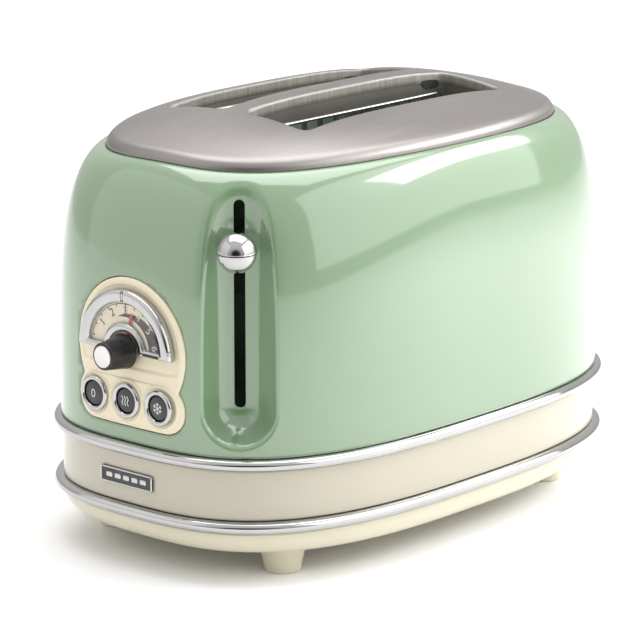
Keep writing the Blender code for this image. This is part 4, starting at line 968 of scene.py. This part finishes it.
# The card, and on it a fine outer line, a dark wedge that is widest on the right, and ticks.
card_out = 0.1501
print_out, tick_out = card_out + 0.0001, card_out + 0.00012
tick_first, tick_pitch, tick_half = 12, 15.6, math.degrees(0.012)
card = sector(-3, 183, 0.0108, 0.0242, card_out)
whole_piece("dial_card", *card, (-1, 0, 0.12), panel_cream, "housing", "panel_cream", "dial_face")
marks = [
    sector(2, 178, 0.0225, 0.0228, print_out),
    sector(-2, 108, (0.0152, 0.0166), (0.0236, 0.0168), print_out),
]
for step in range(11):
    turn = tick_first + tick_pitch * step
    marks.append(sector(turn - tick_half, turn + tick_half, 0.0212, 0.0226, tick_out, 3))
whole_piece("dial_marks", *joined(*marks), (-1, 0, 0.12), ink, "housing", "panel_cream")

figure_out = card_out + 0.00025
figure_radius, figure_size = 0.0192, 0.0056


def figure(text, turn, material):
    """One printed figure on the dial card, centred at a turn and leaning with it."""
    curve = bpy.data.curves.new("figure", "FONT")
    curve.body = text
    curve.size = figure_size
    curve.align_x = "CENTER"
    curve.align_y = "CENTER"
    drawn = bpy.data.objects.new("figure", curve)
    bpy.context.scene.collection.objects.link(drawn)
    bpy.context.view_layer.update()
    mesh = bpy.data.meshes.new_from_object(drawn.evaluated_get(bpy.context.evaluated_depsgraph_get()))
    bpy.data.objects.remove(drawn, do_unlink=True)
    lean = turn - math.pi / 2
    across, up, _ = read_all(mesh.vertices, "co").T
    y = figure_radius * math.cos(turn) + across * math.cos(lean) - up * math.sin(lean)
    z = figure_radius * math.sin(turn) + across * math.sin(lean) + up * math.cos(lean)
    placed = np.column_stack([np.full(len(y), middle.x - figure_out), -y, dial_height + z])
    mesh.vertices.foreach_set("co", placed.ravel())
    mesh.update()
    agree_with(mesh, (-1, 0, 0.12))
    mesh.materials.clear()
    mesh.materials.append(material)
    add_piece("figure_" + text, mesh, "housing", "panel_cream")


for text, degrees in (("1", 143), ("2", 117), ("3", 91)):
    figure(text, math.radians(degrees), ink)
for text, degrees in (("4", 64), ("5", 38), ("6", 12)):
    figure(text, math.radians(degrees), light_ink)

mark_low, mark_high = dial_height + 0.0243, dial_height + 0.0292
mark_half_width, mark_corner, mark_line = 0.00085, 0.0008, 0.00035
bar_slot_middle, bar_slot_half, bar_slot_corner = (0.0185, dial_height + 0.0008), (0.0052, 0.0007), 0.0006
paint_height = 0.0001


def mark_distance(flat):
    """Signed distance to the upright index mark: a rounded bar with a slot in it."""
    half = (mark_half_width, (mark_high - mark_low) / 2)
    bar = box_distance(flat, (0, (mark_low + mark_high) / 2), half, mark_corner)
    return np.maximum(bar, -(bar + mark_line))


index = pillow(
    mark_distance,
    (-0.0012, mark_low - 0.0003),
    (0.0012, mark_high + 0.0003),
    step=0.0001,
    base=0.15288,
    height=paint_height,
    width=paint_height,
    back=-0.1520,
)
whole_piece("index_mark", *index, (-1, 0, 0.13), ink, "housing", "chrome")


def bar_slot_distance(flat):
    """Signed distance to the slot in the bar beside the knob, drawn as a thin dark sheet of painted shade."""
    return box_distance(flat, bar_slot_middle, bar_slot_half, bar_slot_corner)


# The slot's opening is a dark ink sheet on the chrome bar: painted shade for its depth.
bar_slot = pillow(
    bar_slot_distance,
    (0.012, dial_height - 0.0004),
    (0.0242, dial_height + 0.0020),
    step=0.0002,
    base=0.15286,
    height=paint_height,
    width=paint_height,
    back=-0.1520,
)
whole_piece("bar_slot", *bar_slot, (-1, 0, 0.13), ink, "housing", "chrome")

window, shader, coords = new_material("clear_cover")
vary(shader, "Roughness", noise(coords, 60, 2), 0.03, 0.06)
shader.inputs["Base Color"].default_value = (0.96, 0.97, 0.97, 1)
shader.inputs["Alpha"].default_value = 0.05


def finish_node(name, material):
    """Gives a CAD node that keeps its built shape its one material."""
    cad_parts[name].data.materials.clear()
    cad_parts[name].data.materials.append(material)


finish_node("dial_lens", window)


# --- Knob and pointer ---------------------------------------------------------------------
# A satin black moulded cone with a fine rim and a silver cap, pushed on the control's shaft;
# a red pointer behind it turns with it.
black, shader, coords = new_material("black_moulding")
vary(shader, "Base Color", noise(coords, 80), 0.008, 0.014)
vary(shader, "Roughness", noise(coords, 300), 0.26, 0.36)
silver = toned("silver_cap", 120, (0.74, 0.73, 0.71), (0.80, 0.79, 0.77), 0.32, 0.35)
red = toned("red_paint", 200, (0.46, 0.025, 0.020), (0.54, 0.035, 0.028), 0.4)


def turned_out(profile, start, y, z, sides=96):
    """A profile of (radius, distance out from start) carried round an axis along X at (y, z)."""
    turn = np.linspace(0, 2 * np.pi, sides, endpoint=False)
    rings = [
        np.column_stack([np.full(sides, -(start + out)), y + r * np.cos(turn), z + r * np.sin(turn)])
        for r, out in profile
    ]
    return np.array(rings).reshape(-1, 3), grid_faces(len(profile), sides, round_columns=True)


# The knob: a rim, a cone, a rounded front edge and a seat for the cap.
knob_back = 0.1514
grip_foot, grip_top, grip_round = 0.0082, 0.0067, 0.0009
grip_start, grip_length = 0.0014, 0.0124
grip = [(0.0, 0.0), (0.0083, 0.0), (0.0085, 0.0003), (0.0085, 0.0011), (0.0083, grip_start)]
for share in np.linspace(0.05, 1, 10):
    grip.append((grip_foot - (grip_foot - grip_top) * share, grip_start + grip_length * share))
for angle in np.linspace(0.2, 1.5, 7):
    radius = grip_top - grip_round * (1 - math.cos(angle))
    grip.append((radius, grip_start + grip_length + grip_round * math.sin(angle)))
grip += [(0.0056, 0.0147), (0.0055, 0.0144), (0.0, 0.0144)]
grip = turned_out(grip, knob_back, 0, dial_height)
whole_piece("knob_grip", *grip, (-1, 0, dial_height), black, "knob", "black_plastic", "browning_knob")
disc = [(0.0, 0.0145), (0.0053, 0.0145), (0.0053, 0.0148), (0.0051, 0.0150), (0.0048, 0.0151)]
disc += [(0.0044, 0.0149), (0.0, 0.0150)]
disc = turned_out(disc, knob_back, 0, dial_height)
whole_piece("knob_disc", *disc, (-1, 0, dial_height), silver, "knob", "silver_cap", "knob_cap")

# The pointer's half width at four radii; it leans to the right of upright.
needle_out, needle_gauge = 0.1510, 0.0003
needle_shape = ((0.0, 0.0010), (0.0085, 0.0010), (0.0182, 0.00085), (0.0190, 0.0004))
tilt = math.radians(90 - 14)
needle = []
for radius, half in needle_shape:
    for side in (-1, 1):
        across = radius * math.cos(tilt) - side * half * math.sin(tilt)
        up = radius * math.sin(tilt) + side * half * math.cos(tilt)
        needle.append((-needle_out, -across, dial_height + up))
pointer = whole_piece(
    "red_needle", needle, grid_faces(4, 2), (-1, 0, 0.12), red, "knob", "red_pointer", "dial_pointer"
)
pointer.modifiers.new("sheet", "SOLIDIFY").thickness = needle_gauge


# --- Buttons ------------------------------------------------------------------------------
# Three dark moulded caps with printed symbols: a nought, three waves and a snowflake.  Each
# is sprung on its switch inside a broad chromed ring.
charcoal = toned("charcoal_caps", 90, (0.030, 0.030, 0.031), (0.042, 0.042, 0.043), 0.33)
white_ink = toned("white_print", 300, (0.74, 0.74, 0.72), (0.80, 0.80, 0.78), 0.5)
cap_front = 0.1508
cap_radius = 0.0059
symbol_out = 0.00062
line_width = 0.00045


def ribbon(path, y):
    """A flat line of one width along a path of (across, up) places from a button's middle."""
    path = np.array(path, float)
    along = np.gradient(path, axis=0)
    along /= np.hypot(*along.T)[:, None]
    side = np.stack([-along[:, 1], along[:, 0]], -1) * line_width / 2
    front = np.full(len(path), -cap_front - symbol_out)
    edges = (path - side, path + side)
    rows = [np.column_stack([front, y - edge[:, 0], button_z + edge[:, 1]]) for edge in edges]
    return np.array(rows), grid_faces(2, len(path))


turn = np.linspace(0, 2 * np.pi, 49)
nought = [np.column_stack([0.00105 * np.cos(turn), 0.0018 * np.sin(turn)])]
wave_up = np.linspace(-0.0024, 0.0024, 25)
wave_bend = 0.00035 * np.sin(wave_up * 2100)
waves = [np.column_stack([x + wave_bend, wave_up]) for x in (-0.0017, 0, 0.0017)]
spoke_length, arm_start, arm_length = 0.0028, 0.0016, 0.0011
flake = []
for spoke in range(6):
    angle = spoke * math.pi / 3 + math.pi / 6
    out = np.array([math.cos(angle), math.sin(angle)])
    flake.append([out * 0.0001, out * spoke_length])
    for bend in (-0.8, 0.8):
        arm = np.array([math.cos(angle + bend), math.sin(angle + bend)])
        flake.append([out * arm_start, out * arm_start + arm * arm_length])

# A rim is a half-round ring with two short walls behind it; a cap is a drum with a rounded
# edge and a slightly domed face.
rim_back, rim_inner, rim_outer, rim_front, rim_wall = 0.1494, 0.0063, 0.0088, 0.0014, 0.0013
rim_middle, rim_half_width, rim_height = 0.0075, 0.0012, 0.0011
rim_profile = [(rim_inner, 0), (rim_inner, rim_wall)]
for angle in np.linspace(0, np.pi, 15):
    radius = rim_middle - rim_half_width * math.cos(angle)
    rim_profile.append((radius, rim_front + rim_height * math.sin(angle)))
rim_profile.append((rim_outer, 0))
cap_depth, cap_round, cap_fall, cap_face, cap_dome = 0.009, 0.0005, 0.0006, 0.0052, 0.0005
cap_profile = [(0.0, -cap_depth), (cap_radius, -cap_depth), (cap_radius, -cap_fall)]
for angle in (0.4, 0.9, 1.4):
    radius = cap_radius - cap_round * (1 - math.cos(angle))
    cap_profile.append((radius, cap_fall * (math.sin(angle) - 1)))
for share in np.linspace(0.05, 1, 7):
    cap_profile.append((cap_face * (1 - share), cap_dome * (1 - (1 - share) ** 2)))
for name, y, strokes in zip(("cancel", "reheat", "defrost"), button_y, (nought, waves, flake)):
    front = (-1, y, button_z)
    rim = turned_out(rim_profile, rim_back, y, button_z)
    whole_piece(name + "_rim", *rim, front, chrome, "housing", "chrome", name + "_button_ring")
    cap = turned_out(cap_profile, cap_front, y, button_z, 72)
    whole_piece(name + "_cap", *cap, front, charcoal, name, "black_plastic", name + "_button")
    symbol = joined(*[ribbon(stroke, y) for stroke in strokes])
    whole_piece(name + "_symbol", *symbol, front, white_ink, name, "black_plastic")


# --- Lever ball ---------------------------------------------------------------------------
# Two turned and chromed halves pressed on the end of the lever's arm, with a fine proud bead
# on each where they meet.
ball_low, ball_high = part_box("lever_ball_upper")
ball_foot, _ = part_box("lever_ball_lower")
ball_aside, ball_lowered = 0.0006, 0.0005
ball_centre = np.array([(ball_low.x + ball_high.x) / 2 - middle.x, (ball_low.y + ball_high.y) / 2])
ball_centre += lever_across * ball_aside * np.sign(lever_side)
ball_z = (ball_foot.z + ball_high.z) / 2 - ball_lowered
ball_radius, ball_half_height = 0.0093, 0.0097
ball_profile = [
    (0.0, 0.0002),
    (ball_radius * 0.985, 0.0002),
    (ball_radius * 1.012, 0.00025),
    (ball_radius * 1.012, 0.00045),
    (ball_radius * 0.998, 0.0006),
]
for angle in np.linspace(0.1, np.pi / 2, 30):
    ball_profile.append((ball_radius * math.cos(angle), ball_half_height * math.sin(angle)))
for name, side in (("upper", 1), ("lower", -1)):
    half_ball = turned_grid([(r, ball_z + side * h) for r, h in ball_profile], ball_centre, 96)
    outside = (ball_centre[0] * 2, ball_centre[1] * 2, ball_z + side * 0.01)
    whole_piece("ball_" + name, *half_ball, outside, chrome, "carriage", "chrome", "lever_ball_" + name)


# --- Badge --------------------------------------------------------------------------------
# A small chromed plate with a dark lacquered field and a plain row of bars left bright, stuck
# on the front of the band.
badge_low, badge_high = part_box("badge_plate")
badge_y = -(badge_low.y + badge_high.y) / 2
badge_z = (badge_low.z + badge_high.z) / 2
badge_half, badge_corner, badge_frame_width = (0.01725, 0.0040), 0.0012, 0.0009
bar_pitch, bar_half, bar_corner = 0.0056, (0.0020, 0.0013), 0.0006


def badge_distance(flat):
    """Signed distance to the plate's rounded outline."""
    return box_distance(flat, (badge_y, badge_z), badge_half, badge_corner)


def badge_frame(flat):
    """Signed distance to the plate's narrow frame."""
    plate = badge_distance(flat)
    return np.maximum(plate, -(plate + badge_frame_width))


def badge_bars(flat):
    """Signed distance to five plain bars in the field."""
    middles = [(badge_y + bar_pitch * n, badge_z) for n in range(-2, 3)]
    return np.min([box_distance(flat, centre, bar_half, bar_corner) for centre in middles], axis=0)


badge_corners = ((badge_y - 0.0180, badge_z - 0.0046), (badge_y + 0.0180, badge_z + 0.0046))
badge_front = (-1, 0, 0.045)
field = pillow(
    badge_distance, *badge_corners, step=0.0003, base=0.1494, height=0.0001, width=0.0005, back=-0.1480
)
whole_piece("badge_field", *field, badge_front, charcoal, "housing", "chrome", "badge_plate")
border = pillow(
    badge_frame, *badge_corners, step=0.00018, base=0.1496, height=0.0003, width=0.00045, back=-0.1488
)
whole_piece("badge_border", *border, badge_front, chrome, "housing", "chrome")
bars = pillow(
    badge_bars, *badge_corners, step=0.0002, base=0.1495, height=0.0003, width=0.0005, back=-0.1488
)
whole_piece("badge_bars", *bars, badge_front, chrome, "housing", "chrome")


# --- Bread guides -------------------------------------------------------------------------
# Plated wire racks, one each side of each slot: a long loop of wire with eleven thinner
# upright wires welded on.
plated, shader, coords = new_material("plated_wire")
vary(shader, "Base Color", noise(coords, 90), (0.36, 0.38, 0.35), (0.48, 0.50, 0.46))
vary(shader, "Roughness", noise(coords, 200), 0.18, 0.30)
shader.inputs["Metallic"].default_value = 1.0
loop_wire, upright_wire = 0.0010, 0.0007
loop_corner = 0.006
loop_above = 0.0048
upright_margin = 0.010


def tube(path, radius, sides=10, looped=False):
    """Circles round a path in the XZ plane: each is spanned by the path's side and by Y."""
    path = np.array(path, float)
    if looped:
        along = np.roll(path, -1, 0) - np.roll(path, 1, 0)
    else:
        along = np.gradient(path, axis=0)
    along /= np.linalg.norm(along, axis=1)[:, None]
    side = np.cross(along, (0, 1, 0))
    turn = np.linspace(0, 2 * np.pi, sides, endpoint=False)[None, :, None]
    rings = path[:, None] + radius * (np.cos(turn) * side[:, None] + np.sin(turn) * np.array([0, 1.0, 0]))
    return rings, grid_faces(len(path), sides, looped, True)


for node in ("near_outer", "near_inner", "far_inner", "far_outer"):
    low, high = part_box("bread_guide_" + node)
    y = (low.y + high.y) / 2
    half = (high.x - low.x) / 2 - loop_wire
    low_z, high_z = low.z + loop_wire, high.z + loop_above
    loop = []
    for x_side, middle_z, first in (
        (1, high_z - loop_corner, 0),
        (-1, high_z - loop_corner, 90),
        (-1, low_z + loop_corner, 180),
        (1, low_z + loop_corner, 270),
    ):
        for angle in np.radians(np.linspace(first, first + 90, 9)):
            x = x_side * (half - loop_corner) + loop_corner * math.cos(angle)
            loop.append((x, y, middle_z + loop_corner * math.sin(angle)))
    wires = [tube(loop, loop_wire, 12, True)]
    for x in np.linspace(-1, 1, 11) * (half - upright_margin):
        wires.append(tube([(x, y, z) for z in np.linspace(low_z, high_z, 6)], upright_wire))
    rack = joined(*wires)
    body = "guide_" + node
    whole_piece("wire_rack_" + node, *rack, (0, 0, 1), plated, body, "plated_wire", "bread_guide_" + node)


# --- Works inside -------------------------------------------------------------------------
# The oven's sheets, carriage, boards and tray keep their built shapes and are stamped from
# tinplate, mica and laminate; the carriage runs on two plated rods.
def plain(name, low, high, roughness, metallic=0.0, scale=60):
    """A material whose colour and gloss both drift a little over the piece."""
    made, shader, coords = new_material(name)
    vary(shader, "Base Color", noise(coords, scale, 4), low, high)
    vary(shader, "Roughness", noise(coords, scale * 6), roughness * 0.85, roughness * 1.15)
    shader.inputs["Metallic"].default_value = metallic
    return made


tin = plain("tinplate", (0.44, 0.44, 0.43), (0.48, 0.48, 0.47), 0.34, 0.8, 20)
sheet = plain("oven_sheet", (0.50, 0.60, 0.57), (0.62, 0.71, 0.67), 0.38, 0.4)
mica = plain("mica_board", (0.34, 0.27, 0.16), (0.48, 0.40, 0.26), 0.6)
laminate = plain("laminate", (0.02, 0.12, 0.05), (0.03, 0.17, 0.07), 0.45)
coil = plain("coil_wire", (0.42, 0.17, 0.07), (0.55, 0.26, 0.12), 0.35, 1.0, 400)
rubber = plain("gland_rubber", (0.012, 0.012, 0.012), (0.022, 0.022, 0.022), 0.65)
inside = {
    "oven_end_front oven_end_rear reflector_near reflector_far": sheet,
    "carriage bread_lifter_near bread_lifter_far lever_arm armature magnet_core": tin,
    "knob_shaft browning_control crumb_tray": tin,
    "guide_rod_near guide_rod_far carriage_spring": plated,
    "heater_board_near heater_board_centre heater_board_far": mica,
    "control_board power_board": laminate,
    "magnet_coil": coil,
    "cancel_switch reheat_switch defrost_switch terminal_block": black,
    "cord_gland": rubber,
}
for names, material in inside.items():
    for name in names.split():
        finish_node(name, material)
